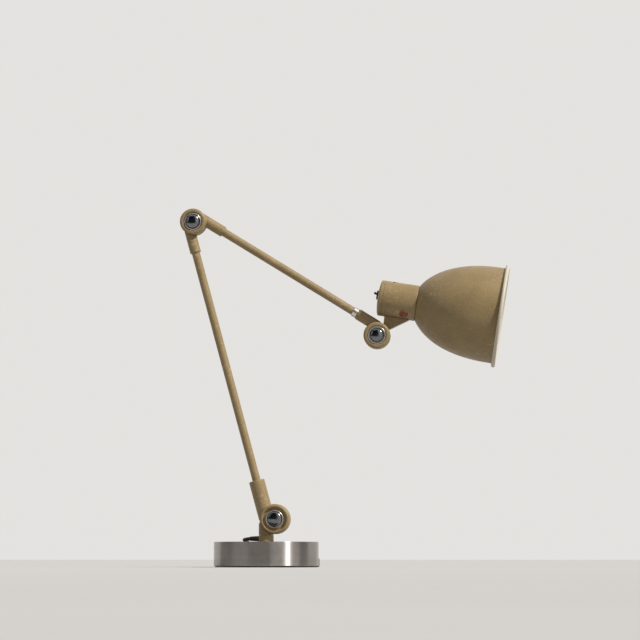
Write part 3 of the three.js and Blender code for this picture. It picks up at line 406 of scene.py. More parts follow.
# ---- shapes ----
def rounded(points, steps=5, closed=False):
    """A line of (radius, height) or (radius, height, fillet), with its fillets drawn as arcs."""
    line = []
    for i, point in enumerate(points):
        corner = Vector(point[:2])
        fillet = point[2] if len(point) > 2 else 0
        if not fillet:
            line.append(corner)
            continue
        before = (Vector(points[i - 1][:2]) - corner).normalized()
        after = (Vector(points[(i + 1) % len(points)][:2]) - corner).normalized()
        half = before.angle(after) / 2
        centre = corner + (before + after).normalized() * fillet / math.sin(half)
        start = corner + before * fillet / math.tan(half) - centre
        end = corner + after * fillet / math.tan(half) - centre
        line += [centre + fillet * start.slerp(end, k / steps) for k in range(steps + 1)]
    if closed:
        line.append(line[0].copy())
    return line


AXES = {
    "X": Matrix.Rotation(radians(90), 4, "Y"),
    "Y": Matrix.Rotation(radians(-90), 4, "X"),
    "Z": Matrix.Identity(4),
}


def spun(line, axis="X", sides=96):
    """A line of (radius, height) spun once round an axis."""
    bm = bmesh.new()
    verts = [bm.verts.new((r, 0, h)) for r, h in line]
    edges = [bm.edges.new(pair) for pair in zip(verts, verts[1:])]
    bmesh.ops.spin(
        bm, geom=verts + edges, cent=(0, 0, 0), axis=(0, 0, 1), angle=math.tau, steps=sides,
        use_merge=True,
    )
    bmesh.ops.remove_doubles(bm, verts=bm.verts, dist=0.001)
    bmesh.ops.recalc_face_normals(bm, faces=bm.faces)
    bm.transform(AXES[axis])
    bm.normal_update()
    return bm


def turned(points, axis="X", sides=96, closed=False):
    """A turned solid from its outline, which ends on the axis or, for a ring, closes on itself."""
    return spun(rounded(points, closed=closed), axis, sides)


def rod(radius, start, end, axis, sides=64):
    """A plain cylinder along an axis."""
    return turned([(0, start), (radius, start), (radius, end), (0, end)], axis, sides)


def moved(bm, x=0.0, y=0.0, z=0.0):
    bm.transform(Matrix.Translation((x, y, z)))
    return bm


def slab(outline, low, high, soft=0.0):
    """A flat (x, z) outline raised along Y, with its edges softened."""
    bm = bmesh.new()
    face = bm.faces.new([bm.verts.new((x, low, z)) for x, z in outline])
    raised = bmesh.ops.extrude_face_region(bm, geom=[face])
    verts = [v for v in raised["geom"] if isinstance(v, bmesh.types.BMVert)]
    bmesh.ops.translate(bm, vec=(0, high - low, 0), verts=verts)
    if soft:
        bmesh.ops.bevel(
            bm, geom=bm.edges[:], offset=soft, affect="EDGES", segments=4, profile=0.5, material=-1,
        )
    bmesh.ops.recalc_face_normals(bm, faces=bm.faces)
    return bm


def joined(shapes):
    """Several shapes as one, still separate shells."""
    whole = bmesh.new()
    for shape in shapes:
        mesh = bpy.data.meshes.new("shell")
        shape.to_mesh(mesh)
        shape.free()
        whole.from_mesh(mesh)
        bpy.data.meshes.remove(mesh)
    return whole


def as_object(name, bm):
    """An object made from a shape, which is used up."""
    mesh = bpy.data.meshes.new(name)
    bm.to_mesh(mesh)
    bm.free()
    made = bpy.data.objects.new(name, mesh)
    bpy.context.scene.collection.objects.link(made)
    return made


def worked(body, tool=None):
    """The shape of an object with its modifiers applied; the object and its tool are used up."""
    bpy.context.view_layer.update()
    graph = bpy.context.evaluated_depsgraph_get()
    mesh = bpy.data.meshes.new_from_object(body.evaluated_get(graph))
    bm = bmesh.new()
    bm.from_mesh(mesh)
    bpy.data.meshes.remove(mesh)
    for used in filter(None, (body, tool)):
        bpy.data.objects.remove(used)
    return bm


def cut(bm, cutters):
    """A shape with several others taken out of it."""
    body = as_object("body", bm)
    tool = as_object("tool", joined(cutters))
    taken = body.modifiers.new("taken", "BOOLEAN")
    taken.operation = "DIFFERENCE"
    taken.solver = "EXACT"
    taken.use_self = True
    taken.object = tool
    return worked(body, tool)


def cast(shapes, cutters, grain=0.5, passes=4):
    """Shapes run together as one casting, with soft edges and inside corners."""
    body = as_object("casting", cut(joined(shapes), cutters))
    run = body.modifiers.new("run", "REMESH")
    run.mode = "VOXEL"
    run.voxel_size = grain
    soften = body.modifiers.new("soften", "SMOOTH")
    soften.factor = 0.5
    soften.iterations = passes
    return worked(body)


# ---- putting pieces in place ----
record = frame["record"]
slot_of = {part["node"]: part["material_slot"] for part in record["subparts"]}
body_of = {node: body for body, nodes in record["behaviour"]["bodies"].items() for node in nodes}


def dress(node, obj, also=(), finish=None):
    """Gives an object the finish, body and slot of the CAD node that it stands for."""
    if not obj.data.materials:
        obj.data.materials.append(finish or FINISHES[slot_of[node]])
    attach(obj, body_of[node])
    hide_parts(node, *also)


def fit(node, bm, place=TABLE, crease=38, finish=None):
    """Sets a shape in place of a CAD node."""
    bm.transform(place)
    obj = as_object("fine_" + node, bm)
    obj.data.shade_smooth()
    obj.data.set_sharp_from_angle(angle=radians(crease))
    normals = obj.modifiers.new("normals", "WEIGHTED_NORMAL")
    normals.keep_sharp = True
    dress(node, obj, finish=finish)
    return obj


# ---- flex, coil and plug ----
LEAD_ROUTE = [
    (-0.0263, 0.0184, 0.0428), (-0.0283, 0.0199, 0.0427), (-0.0309, 0.0226, 0.0424),
    (-0.0335, 0.0264, 0.0420), (-0.0356, 0.0314, 0.0415), (-0.0365, 0.0381, 0.0411),
    (-0.0364, 0.0465, 0.0409), (-0.0359, 0.0560, 0.04095), (-0.0353, 0.0655, 0.0410),
    (-0.0348, 0.0732, 0.0402), (-0.0343, 0.0802, 0.0371), (-0.0338, 0.0859, 0.0317),
    (-0.0332, 0.0898, 0.0249), (-0.0325, 0.0934, 0.0178), (-0.0315, 0.0979, 0.0112),
    (-0.0301, 0.1040, 0.0060), (-0.0283, 0.1115, 0.0035), (-0.0268, 0.1210, 0.0028),
    (-0.0258, 0.1315, 0.0028), (-0.0255, 0.1415, 0.0028), (-0.0255, 0.1515, 0.0028),
    (-0.0255, 0.1620, 0.0028),
]
TAIL_ROUTE = [
    (0.0563, 0.1620, 0.0080), (0.0563, 0.1520, 0.0078), (0.0563, 0.1450, 0.0075),
    (0.0563, 0.1383, 0.00715), (0.0563, 0.1330, 0.00715),
]


def eased(share):
    share = min(max(share, 0.0), 1.0)
    return share * share * (3 - 2 * share)


def stepped(turns, start, end):
    """Whole turns done, with each step up to the next one eased between two shares of a turn."""
    whole = math.floor(turns)
    return whole + eased((turns - whole - start) / (end - start))


def coil_route():
    """Turns inwards along the table, a climb clear of its neighbours, then turns outwards on top."""
    points = []
    last = COIL["turns"] - 1
    inner = COIL["outer"] - last * COIL["pitch"]
    for i in range(int(COIL_TURNS * COIL_STEPS) + 1):
        turns = i / COIL_STEPS
        back = turns - last - 0.6
        if back < 0:
            radius = COIL["outer"] - COIL["pitch"] * min(stepped(turns, 0.6, 1.0), last)
        else:
            radius = inner + COIL["pitch"] * stepped(back, 0.0, 0.5)
        height = COIL["lift"] + COIL["pitch"] * eased((turns - last - 0.1) / 0.5)
        x, y = polar(radius, 180 - 360 * turns)
        points.append(((COIL["x"] + x) * MM, (COIL["y"] + y) * MM, height * MM))
    return points


def add_flex():
    """One round tube along the lead, the coil and the tail."""
    curve = bpy.data.curves.new("flex", "CURVE")
    curve.dimensions = "3D"
    curve.bevel_depth = FLEX_RADIUS * MM
    curve.bevel_resolution = 5
    curve.use_fill_caps = True
    spline = curve.splines.new("BEZIER")
    route = LEAD_ROUTE + coil_route() + TAIL_ROUTE
    spline.bezier_points.add(len(route) - 1)
    for knot, point in zip(spline.bezier_points, route):
        knot.co = point
        knot.handle_left_type = knot.handle_right_type = "AUTO"
    spline.resolution_u = 4
    obj = bpy.data.objects.new("flex", curve)
    bpy.context.scene.collection.objects.link(obj)
    dress("flex_lead", obj, ("flex_coil", "flex_tail"))
    return obj


def add_relief():
    """The tapered rubber sleeve on the flex where it leaves the foot, with five grooves in it."""
    root, tip = RELIEF["root"], RELIEF["tip"]
    collar = RELIEF["collar"]
    points = [(0, root), (collar, root, 0.4), (collar, root + RELIEF["collar_long"], 0.5)]
    for i in range(GROOVES["count"]):
        at = root + GROOVES["from"] + GROOVES["pitch"] * i
        proud = GROOVES["radius"] - GROOVES["taper"] * i
        deep = proud - GROOVES["deep"]
        points += [(proud, at, 0.2), (deep, at + 0.3, 0.1), (deep, at + 0.9, 0.1)]
        points.append((proud - 0.04, at + 1.2, 0.2))
    points += [(RELIEF["end"], tip, 0.4), (0, tip)]
    exit_place = Matrix.Translation((0, 0, FLEX_HEIGHT)) @ Matrix.Rotation(radians(FLEX_EXIT_TURN), 4, "Z")
    return fit("flex_relief", turned(points, "X", 32), TABLE @ exit_place)


def add_tie():
    """A rubber band over the turns, on the side that faces the foot."""
    wide, thick, bend = TIE["wide"], TIE["thick"], TIE["round"]
    inner = COIL["outer"] - (COIL["turns"] - 1) * COIL["pitch"] - FLEX_RADIUS - thick
    outer = COIL["outer"] + FLEX_RADIUS + thick
    top = COIL["lift"] + COIL["pitch"] + FLEX_RADIUS + thick
    low = COIL["lift"] - FLEX_RADIUS
    path = rounded([(inner, low), (inner, top, bend), (outer, top, bend), (outer, low)], 8)
    bm = bmesh.new()
    verts = [bm.verts.new((-wide / 2, -r, z)) for r, z in path]
    edges = [bm.edges.new(pair) for pair in zip(verts, verts[1:])]
    band = bmesh.ops.extrude_edge_only(bm, edges=edges)["geom"]
    far_side = [v for v in band if isinstance(v, bmesh.types.BMVert)]
    bmesh.ops.translate(bm, vec=(wide, 0, 0), verts=far_side)
    bmesh.ops.recalc_face_normals(bm, faces=bm.faces)
    bmesh.ops.solidify(bm, geom=bm.faces[:], thickness=thick)
    bmesh.ops.recalc_face_normals(bm, faces=bm.faces)
    return fit("coil_tie", moved(bm, COIL["x"], COIL["y"]))


def add_plug():
    """A flat two-pin plug that narrows to a ribbed neck; its face and pins look along -Y."""
    wide, waist, long = PLUG["wide"] / 2, PLUG["waist"] / 2, PLUG["long"]
    right = [
        (wide, 0), (wide, 14.0), (wide - 1.6, 18.5), (waist + 1.4, 28.0), (waist, 31.5),
        (waist - 1.5, long),
    ]
    outline = right + [(-x, y) for x, y in reversed(right)]
    body = slab(outline, -PLUG["thick"] / 2, PLUG["thick"] / 2, 1.8)
    body.transform(Matrix.Rotation(radians(90), 4, "X") @ Matrix.Scale(-1, 4, (0, 0, 1)))
    bmesh.ops.recalc_face_normals(body, faces=body.faces)
    end = long + 12
    neck = [(0, long - 4), (4.6, long - 4), (4.2, long + 2, 0.6), (3.1, end, 0.5), (0, end)]
    parts = [body, turned(neck, "Y", 32)]
    for k in range(PLUG_RIBS["count"]):
        radius = PLUG_RIBS["radius"] - PLUG_RIBS["taper"] * k
        low = long + PLUG_RIBS["from"] + PLUG_RIBS["pitch"] * k
        high = low + PLUG_RIBS["wide"]
        parts.append(turned([(0, low), (radius, low, 0.3), (radius, high, 0.3), (0, high)], "Y", 32))
    sockets = [moved(rod(PIN["radius"] + FIT, -1, 2, "Y"), side * PIN["spacing"] / 2) for side in (-1, 1)]
    shape = cast(parts, sockets, grain=0.45, passes=3)
    middle = PLUG["lift"] + PLUG["thick"] / 2
    pieces = [fit("plug_body", moved(shape, PLUG["x"], PLUG["face"], middle))]
    radius, tip, root = PIN["radius"], -PIN["long"], PIN["root"]
    for number, side in ((1, -1), (2, 1)):
        outline = [(0, tip), (radius, tip, PIN["round"]), (radius, -1.0), (radius, root), (0, root)]
        at = PLUG["x"] + side * PIN["spacing"] / 2
        pin = moved(turned(outline, "Y", 32), at, PLUG["face"], middle)
        pieces.append(fit(f"plug_pin_{number}", pin))
    return pieces


flex = add_flex()
add_relief()
add_tie()
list(add_plug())


# ---- foot ----
def add_foot():
    """The felt, the steel disc with its hollow, and the foot that the stand turns in."""
    felt = [(0, 0), (FELT["radius"], 0, 0.5), (FELT["radius"], FELT["top"], 0.4), (0, FELT["top"])]
    fit("base_felt", turned(felt, "Z", 160))
    disc = [
        (DISC["well"], DISC["bottom"], 0.5), (DISC["radius"], DISC["bottom"], 0.8),
        (DISC["radius"], DISC["top"], 0.7), (DISC["hole"], DISC["top"], 0.3),
        (DISC["hole"], DISC["well_top"], 0.3), (DISC["well"], DISC["well_top"], 0.5),
    ]
    fit("base_disc", turned(disc, "Z", 224, closed=True))
    foot = [
        (FOOT["bore"], FOOT["bottom"]), (FOOT["radius"], FOOT["bottom"], 0.3),
        (FOOT["radius"], FOOT["top"], 0.6), (FOOT["bore"], FOOT["top"], 0.3),
    ]
    fit("swivel_foot", turned(foot, "Z", 96, closed=True))


# ---- knuckles ----
def half_drum(hub, side, recess):
    """One half of a knuckle: a round-edged drum with a recess in its outer face."""
    floor = hub["half"] - RECESS_DEPTH
    points = [
        (0, HALF_LAP), (hub["radius"], HALF_LAP, 0.5), (hub["radius"], hub["half"], hub["round"]),
        (recess, hub["half"], 0.6), (recess, floor, 0.5), (0, floor),
    ]
    return turned([(r, side * y, *rest) for r, y, *rest in points], "Y", 96)


def facing_room(hub, side):
    """What the facing drum needs: its own room, and the sleeve's heel beside it."""
    reach = hub["half"] + CUT_PAST
    lap = -side * HALF_LAP
    room = rod(hub["radius"] + DRUM_CLEAR, lap, side * reach, "Y", 128)
    heel = hub["radius"] * HEEL_SHARE
    low, high = sorted((lap, side * reach))
    outline = [(-CUT_WIDE, -CUT_WIDE), (heel, -CUT_WIDE), (heel, CUT_WIDE), (-CUT_WIDE, CUT_WIDE)]
    return [room, slab(outline, low, high)]


def sleeve_shape(sleeve, way, socket):
    """The sleeve beside a drum, with the socket that its tube goes into."""
    points = [
        (0, sleeve["heel"]), (sleeve["radius"], sleeve["heel"]), (sleeve["radius"], sleeve["reach"], 0.9),
        (socket, sleeve["reach"], 0.3), (socket, sleeve["stop"]), (0, sleeve["stop"]),
    ]
    shape = turned([(r, way * x, *rest) for r, x, *rest in points], "X", 80)
    return moved(shape, z=sleeve["offset"])


def knuckle(hub, side, sleeve, way, socket):
    """A drum and its sleeve; side is -1 for a front drum, and way is 1 if the arm leaves along +X."""
    recess = hub["recess"] if side < 0 else NUT_RECESS
    cutters = facing_room(hub, -side)
    if way < 0:
        for cutter in cutters[1:]:
            cutter.transform(Matrix.Rotation(math.pi, 4, "Z") @ Matrix.Rotation(math.pi, 4, "X"))
    return cast([half_drum(hub, side, recess), sleeve_shape(sleeve, way, socket)], cutters)


def add_pivot(label, hub, front, rear):
    """The cap and ring in a front drum, and the bolt, disc, washer and nut behind them."""
    face = hub["half"]
    seat = face - RECESS_DEPTH + FIT
    rim = face + RING_PROUD
    crown = [(hub["cap"] * math.cos(turn), rim + CAP_CROWN * math.sin(turn)) for turn in
             (radians(90 * k / CAP_STEPS) for k in range(CAP_STEPS, -1, -1))]
    crown[0] = (0, rim + CAP_CROWN)
    shell = [(r, -y) for r, y in crown] + [(hub["cap"], -seat), (0, -seat)]
    fit(f"{label}_cap", spun(shell, "Y", 96), front)

    inner, outer, lip = hub["cap"] + FIT, hub["ring"], hub["lip"]
    low = rim - LIP_HIGH
    ring = [(inner, -seat), (outer, -seat), (outer, -low)]
    ring += [(lip + LIP_WIDE, -low), (lip + LIP_WIDE, -rim, 0.9), (lip, -rim, 0.9), (lip, -low)]
    ring += [(inner, -low)]
    fit(f"{label}_ring", turned(ring, "Y", 96, closed=True), front)

    shank, bore, end = BOLT["radius"], BOLT["bore"], face + BOLT["past"]
    bolt = [(0, -seat), (shank, -seat), (shank, end, 0.5), (0, end)]
    fit(f"{label}_bolt", turned(bolt, "Y", 32), front)
    edge, half = hub["radius"] - 1, DISC_HALF
    disc = [(bore, -half), (edge, -half, 0.2), (edge, half, 0.2), (bore, half)]
    fit(f"{label}_friction_disc", turned(disc, "Y", 96, closed=True), rear)
    wide, top = WASHER["radius"], seat + WASHER["thick"]
    washer = [(bore, seat), (wide, seat, 0.2), (wide, top, 0.3), (bore, top)]
    fit(f"{label}_washer", turned(washer, "Y", 64, closed=True), rear)
    fit(f"{label}_nut", hex_nut(NUT["corner"], bore, seat + NUT["low"], seat + NUT["high"]), rear)


def hex_nut(corner, bore, low, high):
    """A hexagon nut along Y, its corners turned off and its bore chamfered.

    The cutters' counts of sides keep their edges off the hexagon's corners.
    """
    hexagon = [polar(corner, 60 * k + 30) for k in range(6)]
    circle = corner * math.cos(radians(30)) * 0.98
    below, above = low - 1, high + 1
    drop, chamfer, flare = 0.9, 0.6, bore + 1.6
    outside = [
        (circle, below), (corner + 3, below), (corner + 3, above), (circle, above),
        (circle, high), (corner + 0.2, high - drop), (corner + 0.2, low + drop), (circle, low),
    ]
    hole = [
        (0, below), (flare, below), (bore, low + chamfer), (bore, high - chamfer), (flare, above),
        (0, above),
    ]
    return cut(slab(hexagon, low, high), [turned(outside, "Y", 94, closed=True), turned(hole, "Y", 46)])


def add_stand():
    """The standing knuckle: the rear drum on its stub, with the spigot that turns in the foot."""
    radius, low, top = FOOT["radius"], FOOT["top"] + FIT, STUB["top"]
    stub = turned([(0, low), (radius, low, 0.5), (radius, top, STUB["round"]), (0, top)], "Z", 80)
    spigot = rod(STUB["spigot"], FOOT["bottom"] + FIT, FOOT["top"] + 1, "Z")
    to_pivot = Matrix.Translation(-pivots["base_tilt"] / MM)
    for shape in (stub, spigot):
        shape.transform(to_pivot)
    room = rod(BASE_HUB["radius"] + DRUM_CLEAR, HALF_LAP, -30, "Y", 128)
    shape = cast([half_drum(BASE_HUB, 1, NUT_RECESS), stub, spigot], [room])
    fit("base_knuckle", shape, STAND)


# ---- arms ----
def tube_shape(start, end, offset):
    """An arm's tube, from one sleeve's stop to the other's."""
    points = [(TUBE_BORE, start), (TUBE_RADIUS, start, 0.3), (TUBE_RADIUS, end, 0.3), (TUBE_BORE, end)]
    return moved(turned(points, "X", 64, closed=True), z=offset)


def add_lower_arm():
    """Two knuckles, and the tube whose ends go into their sleeves."""
    socket = TUBE_RADIUS + SLIP
    fit("lower_arm_base_knuckle", knuckle(BASE_HUB, -1, BASE_SLEEVE, 1, socket), LOWER)
    fit("lower_arm_elbow_knuckle", knuckle(ELBOW_HUB, 1, ELBOW_LOW_SLEEVE, -1, socket), ELBOW_LOW)
    end = LOWER_LENGTH - ELBOW_LOW_SLEEVE["stop"] - FIT
    fit("lower_arm_tube", tube_shape(BASE_SLEEVE["stop"] + FIT, end, BASE_SLEEVE["offset"]), LOWER)


def add_upper_arm():
    """The elbow's other knuckle, its tube, and the collar that the wrist turns on."""
    socket = TUBE_RADIUS + SLIP
    fit("upper_arm_elbow_knuckle", knuckle(ELBOW_HUB, -1, ELBOW_TOP_SLEEVE, 1, socket), UPPER)
    end = UPPER_LENGTH - WRIST_SLEEVE["reach"] - COLLAR["long"] - 2 * FIT
    fit("upper_arm_tube", tube_shape(ELBOW_TOP_SLEEVE["stop"] + FIT, end, ELBOW_TOP_SLEEVE["offset"]), UPPER)
    flange = end + FIT
    far = flange + COLLAR["long"]
    collar = [
        (COLLAR["bore"], flange - COLLAR["reach"]), (COLLAR["journal"], flange - COLLAR["reach"], 0.4),
        (COLLAR["journal"], flange), (COLLAR["radius"], flange, 0.7), (COLLAR["radius"], far, 0.7),
        (COLLAR["journal"], far), (COLLAR["journal"], far + COLLAR["reach"], 0.4),
        (COLLAR["bore"], far + COLLAR["reach"]),
    ]
    shape = moved(turned(collar, "X", 80, closed=True), z=ELBOW_TOP_SLEEVE["offset"])
    fit("wrist_collar", shape, UPPER)


def add_wrist():
    """The knuckle that turns on the collar and holds the head."""
    fit("wrist_knuckle", knuckle(WRIST_HUB, 1, WRIST_SLEEVE, -1, COLLAR["journal"] + SLIP), WRIST)


# ---- head ----
def add_head_knuckle():
    """The front drum, and the gusset that carries the housing."""
    under = HEAD_RISE - HOUSING["radius"] - FIT
    drum, root = WRIST_HUB["radius"], GUSSET["root"]
    rear_turn, front_turn = GUSSET["rear_turn"], GUSSET["front_turn"]
    outline = [
        polar(root, rear_turn), polar(drum, rear_turn), (GUSSET["rear"], HEAD_RISE),
        (GUSSET["front"], HEAD_RISE), (GUSSET["front"], under),
        polar(drum + GUSSET["toe"], front_turn), polar(root, front_turn),
    ]
    gusset = slab(outline, -GUSSET["half"], GUSSET["half"])
    saddle = moved(rod(HOUSING["radius"] + FIT, -20, 70, "X", 128), z=HEAD_RISE)
    room = rod(WRIST_HUB["radius"] + DRUM_CLEAR, -HALF_LAP, 30, "Y", 128)
    shape = cast([half_drum(WRIST_HUB, -1, WRIST_HUB["recess"]), gusset], [saddle, room])
    fit("head_knuckle", shape, HEAD)


def on_side(shape, at, turn):
    """A shape along Y set on the housing's side, turned from its top."""
    shape.transform(Matrix.Rotation(-radians(turn), 4, "X") @ Matrix.Rotation(radians(90), 4, "X"))
    return moved(shape, at)


def add_housing():
    """The can round lampholder and switch, its two cap screws, and the plug in its side."""
    radius, bore = HOUSING["radius"], HOUSING["radius"] - HOUSING["sheet"]
    front, back, neck = HOUSING["front"], HOUSING["back"], HOUSING["neck"]
    shell = turned([
        (bore, back, 0.2), (radius, back, 0.35), (radius, front, 1.6), (neck, front, 0.3),
        (neck, front - SHEET, 0.3), (bore, front - SHEET, 0.6),
    ], "X", 160, closed=True)
    inside, outside = bore - 3, radius + 3
    places = [(SCREW["hole"], SCREW["at"], turn) for turn in SCREW["turns"]]
    places.append((GROMMET["hole"], GROMMET["at"], GROMMET["turn"]))
    holes = [on_side(rod(hole, inside, outside, "Y"), at, turn) for hole, at, turn in places]
    fit("housing", cut(shell, holes), AXIS, 30)

    shank, head, half = SCREW["shank"], SCREW["head"], SCREW["half_slot"]
    for number, turn in enumerate(SCREW["turns"], 1):
        blank = turned([
            (0, inside), (shank, inside), (shank, bore - 0.2), (head, bore - 0.2), (head, bore + 0.6, 0.4),
            (0, bore + 0.75),
        ], "Y", 40)
        slot = slab([(-4, -half), (4, -half), (4, half), (-4, half)], bore + 0.1, radius + 2)
        screw = on_side(cut(blank, [slot]), SCREW["at"], turn)
        # the screws are near-black as painted shade in their holes
        fit(f"end_cap_screw_{number}", screw, AXIS, finish=SHADE_DARK_METAL)

    neck, brim = GROMMET["neck"], GROMMET["brim"]
    plug = turned([
        (0, bore - 1), (neck, bore - 1), (neck, radius + 0.1), (brim, radius - 0.6),
        (brim, radius + 0.9, 0.6), (3.6, radius + 2.2, 12), (0, radius + 2.6),
    ], "Y", 48)
    fit("housing_grommet", on_side(plug, GROMMET["at"], GROMMET["turn"]), AXIS)


def add_end_cap():
    """The domed rear cap, on a spigot that goes into the housing, with a hole for the switch."""
    radius, sag, skirt, end = HOUSING["radius"], END_CAP["sag"], END_CAP["skirt"], END_CAP["spigot"]
    dome = [(radius * math.sin(turn), -sag * math.cos(turn)) for turn in
            (radians(90 * k / END_CAP["steps"]) for k in range(END_CAP["steps"] + 1))]
    dome[0] = (0, -sag)
    spigot = radius - HOUSING["sheet"] - FIT
    bore = spigot - SHEET
    inside = [(r * bore / radius, x + SHEET) for r, x in reversed(dome)]
    inside[-1] = (0, SHEET - sag)
    rim = [(radius, skirt, 0.35), (spigot, skirt, 0.1), (spigot, end), (bore, end)]
    cap = turned([*dome, *rim, *inside], "X", 160)
    bush_hole = moved(rod(SWITCH["hole"], -10, 3, "X"), z=SWITCH["rise"])
    fit("housing_end_cap", cut(cap, [bush_hole]), AXIS, 30)


def add_switch():
    """A toggle switch: the bush in the end cap, and its bat-shaped lever at one end of its throw."""
    bore, collar, radius = SWITCH["bore"], SWITCH["collar"], SWITCH["bush"]
    out, under = SWITCH["face"] - 1.8, SWITCH["face"] + 0.2
    bush = [
        (bore, out, 0.3), (collar, out, 0.5), (collar, under, 0.3), (radius, under), (radius, 3.2),
        (bore, 3.2),
    ]
    ring = moved(turned(bush, "X", 64, closed=True), z=SWITCH["rise"])
    # the bush is near-black as painted shade on the cap's rear
    fit("switch_bush", ring, AXIS, finish=SHADE_DARK_METAL)
    lever = [
        (0, 3.9), (3.7, 3.9, 3.4), (3.7, -3.4, 2.6), (1.7, -4.4, 0.8), (1.7, -7.0, 1.5),
        (2.3, -10.6, 1.8), (0, -10.6),
    ]
    shape = turned(lever, "X", 40)
    shape.transform(Matrix.Rotation(radians(SWITCH["lean"]), 4, "Y"))
    fit("switch_lever", moved(shape, -0.9, 0, SWITCH["rise"]), AXIS)


def add_lampholder():
    """The porcelain holder with its flange, and the grooved ring that clamps the shade on it."""
    radius, flange, bore = HOLDER["radius"], HOLDER["flange"], HOLDER["bore"]
    back, front, floor = HOLDER["back"], HOLDER["front"], HOLDER["floor"]
    holder = [
        (0, back), (radius, back, 1.2), (radius, 50.3), (flange, 50.6, 0.4), (flange, 54.2, 0.4),
        (radius, 54.4), (radius, front, 0.8), (bore, front, 0.6), (bore, floor), (0, floor),
    ]
    fit("lampholder", turned(holder, "X", 96), AXIS)

    bore, radius, back, front = CLAMP["bore"], CLAMP["radius"], CLAMP["back"], CLAMP["front"]
    outline = [(bore, back), (radius, back, 0.5), (radius, front, 0.9), (bore, front, 0.4)]
    grooves = []
    for turn in (math.tau * k / CLAMP["grips"] for k in range(CLAMP["grips"])):
        y, z = CLAMP["grip_at"] * math.cos(turn), CLAMP["grip_at"] * math.sin(turn)
        grooves.append(moved(rod(1.1, 57.9, 64, "X", 16), y=y, z=z))
    ring = cast([turned(outline, "X", 96, closed=True)], grooves, grain=0.35, passes=2)
    fit("shade_ring", ring, AXIS)


def add_bulb():
    """A round opal bulb: the screw cap's thread as rounded ridges, and the glass as a thin wall."""
    crest, trough, back, neck = BULB["cap"], BULB["thread"], BULB["back"], BULB["neck"]
    thread = []
    for k in range(BULB["turns"]):
        thread += [(crest, 42 + BULB["pitch"] * k, 0.9), (trough, 43.5 + BULB["pitch"] * k, 0.9)]
    cap = [(0, back), (6.6, back, 0.5), (trough, 40.5, 0.5), *thread, (crest, neck), (0, neck)]
    fit("bulb_cap", turned(cap, "X", 64), AXIS)

    middle = GLASS["middle"]
    ball = [polar(GLASS["radius"], turn) for turn in range(90, -46, -5)]
    ball[0] = (0, GLASS["radius"])
    glass = [(r, middle + x) for r, x in ball]
    wide, start = glass[-1]
    for k in range(1, GLASS["steps"] + 1):
        share = k / GLASS["steps"]
        radius = wide + (GLASS["neck"] - wide) * eased(share) ** 0.8
        glass.append((radius, start + (GLASS["back"] - start) * share))
    top = middle + GLASS["radius"] - GLASS["wall"] - 0.1
    inside = [(max(r - GLASS["wall"], 0), min(x, top)) for r, x in reversed(glass)]
    fit("bulb_glass", spun(glass + inside, "X", 96), AXIS)


def shade_line():
    """The bell's outer line from neck to mouth: a superellipse."""
    reach = (1 - (SHADE["neck"] / SHADE["radius"]) ** 2) ** (1 / SHADE["power"])
    line = []
    for i in range(SHADE_STEPS + 1):
        share = math.cos(radians(90 * i / SHADE_STEPS))
        radius = SHADE["radius"] * math.sqrt(1 - (reach * share) ** SHADE["power"])
        line.append(Vector((radius, SHADE["mouth"] - (SHADE["mouth"] - SHADE["back"]) * share)))
    return line


def add_shade():
    """The bell: one line out along it, round the bead and back inside, spun and faintly dented.

    It is khaki outside, and cream inside and on the bead.
    """
    outer = shade_line()
    inner = []
    for i, point in enumerate(outer):
        along = (outer[min(i + 1, len(outer) - 1)] - outer[max(i - 1, 0)]).normalized()
        inner.append(point + Vector((-along.y, along.x)) * SHEET)
    bead = []
    for k in range(BEAD["steps"] + 1):
        r, s = polar(BEAD["radius"], BEAD["from"] + BEAD["sweep"] * k / BEAD["steps"])
        bead.append(Vector((BEAD["centre"] + r, BEAD["at"] + s)))
    throat, back = SHADE["throat"], SHADE["back"]
    line = [Vector((throat, back)), *outer, *bead, *reversed(inner[1:])]
    line += [Vector((SHADE_SHOULDER, back + SHEET)), Vector((throat, back + SHEET)), line[0]]
    bm = spun(line, "X", 192)
    for vert in bm.verts:
        outwards = Vector((0, vert.co.y, vert.co.z))
        swell = sum(noise.noise(vert.co * scale) * height for scale, height in SWELLS)
        vert.co += outwards.normalized() * swell
    for face in bm.faces:
        at = face.calc_center_median()
        inside = face.normal.dot(Vector((0, at.y, at.z))) < 0
        face.material_index = 1 if inside or at.x > BEAD["at"] - CREAM_PAST else 0
    bm.transform(AXIS)
    obj = as_object("fine_shade_bell", bm)
    obj.data.materials.append(FINISHES["enamel"])
    obj.data.materials.append(CREAM)
    obj.data.shade_smooth()
    obj.data.set_sharp_from_angle(angle=radians(40))
    dress("shade_bell", obj)


add_foot()
add_stand()
add_lower_arm()
add_upper_arm()
add_wrist()
add_head_knuckle()
add_housing()
add_end_cap()
add_switch()
add_lampholder()
add_bulb()
add_shade()
add_pivot("base_pivot", BASE_HUB, LOWER, STAND)
add_pivot("elbow_pivot", ELBOW_HUB, UPPER, ELBOW_LOW)
add_pivot("wrist_pivot", WRIST_HUB, HEAD, WRIST)

# the CAD nodes that stay keep their shape and take their slot's finish
for node, obj in frame["nodes"].items():
    if not obj.hide_render:
        obj.data.materials.clear()
        obj.data.materials.append(FINISHES[slot_of[node]])


# ---- studio, in metres ----
CARD_AWAY = 3.0
CARD_LIFT = 0.02
LIGHT_AWAY = 2.4


def camera_sees(tree):
    """1 where the camera, a reflection or a clear surface looks straight at something."""
    rays = tree.nodes.new("ShaderNodeLightPath")
    total = rays.outputs["Is Camera Ray"]
    for kind in ("Is Glossy Ray", "Is Transmission Ray"):
        added = tree.nodes.new("ShaderNodeMath")
        added.operation = "MAXIMUM"
        tree.links.new(total, added.inputs[0])
        tree.links.new(rays.outputs[kind], added.inputs[1])
        total = added.outputs["Value"]
    return total


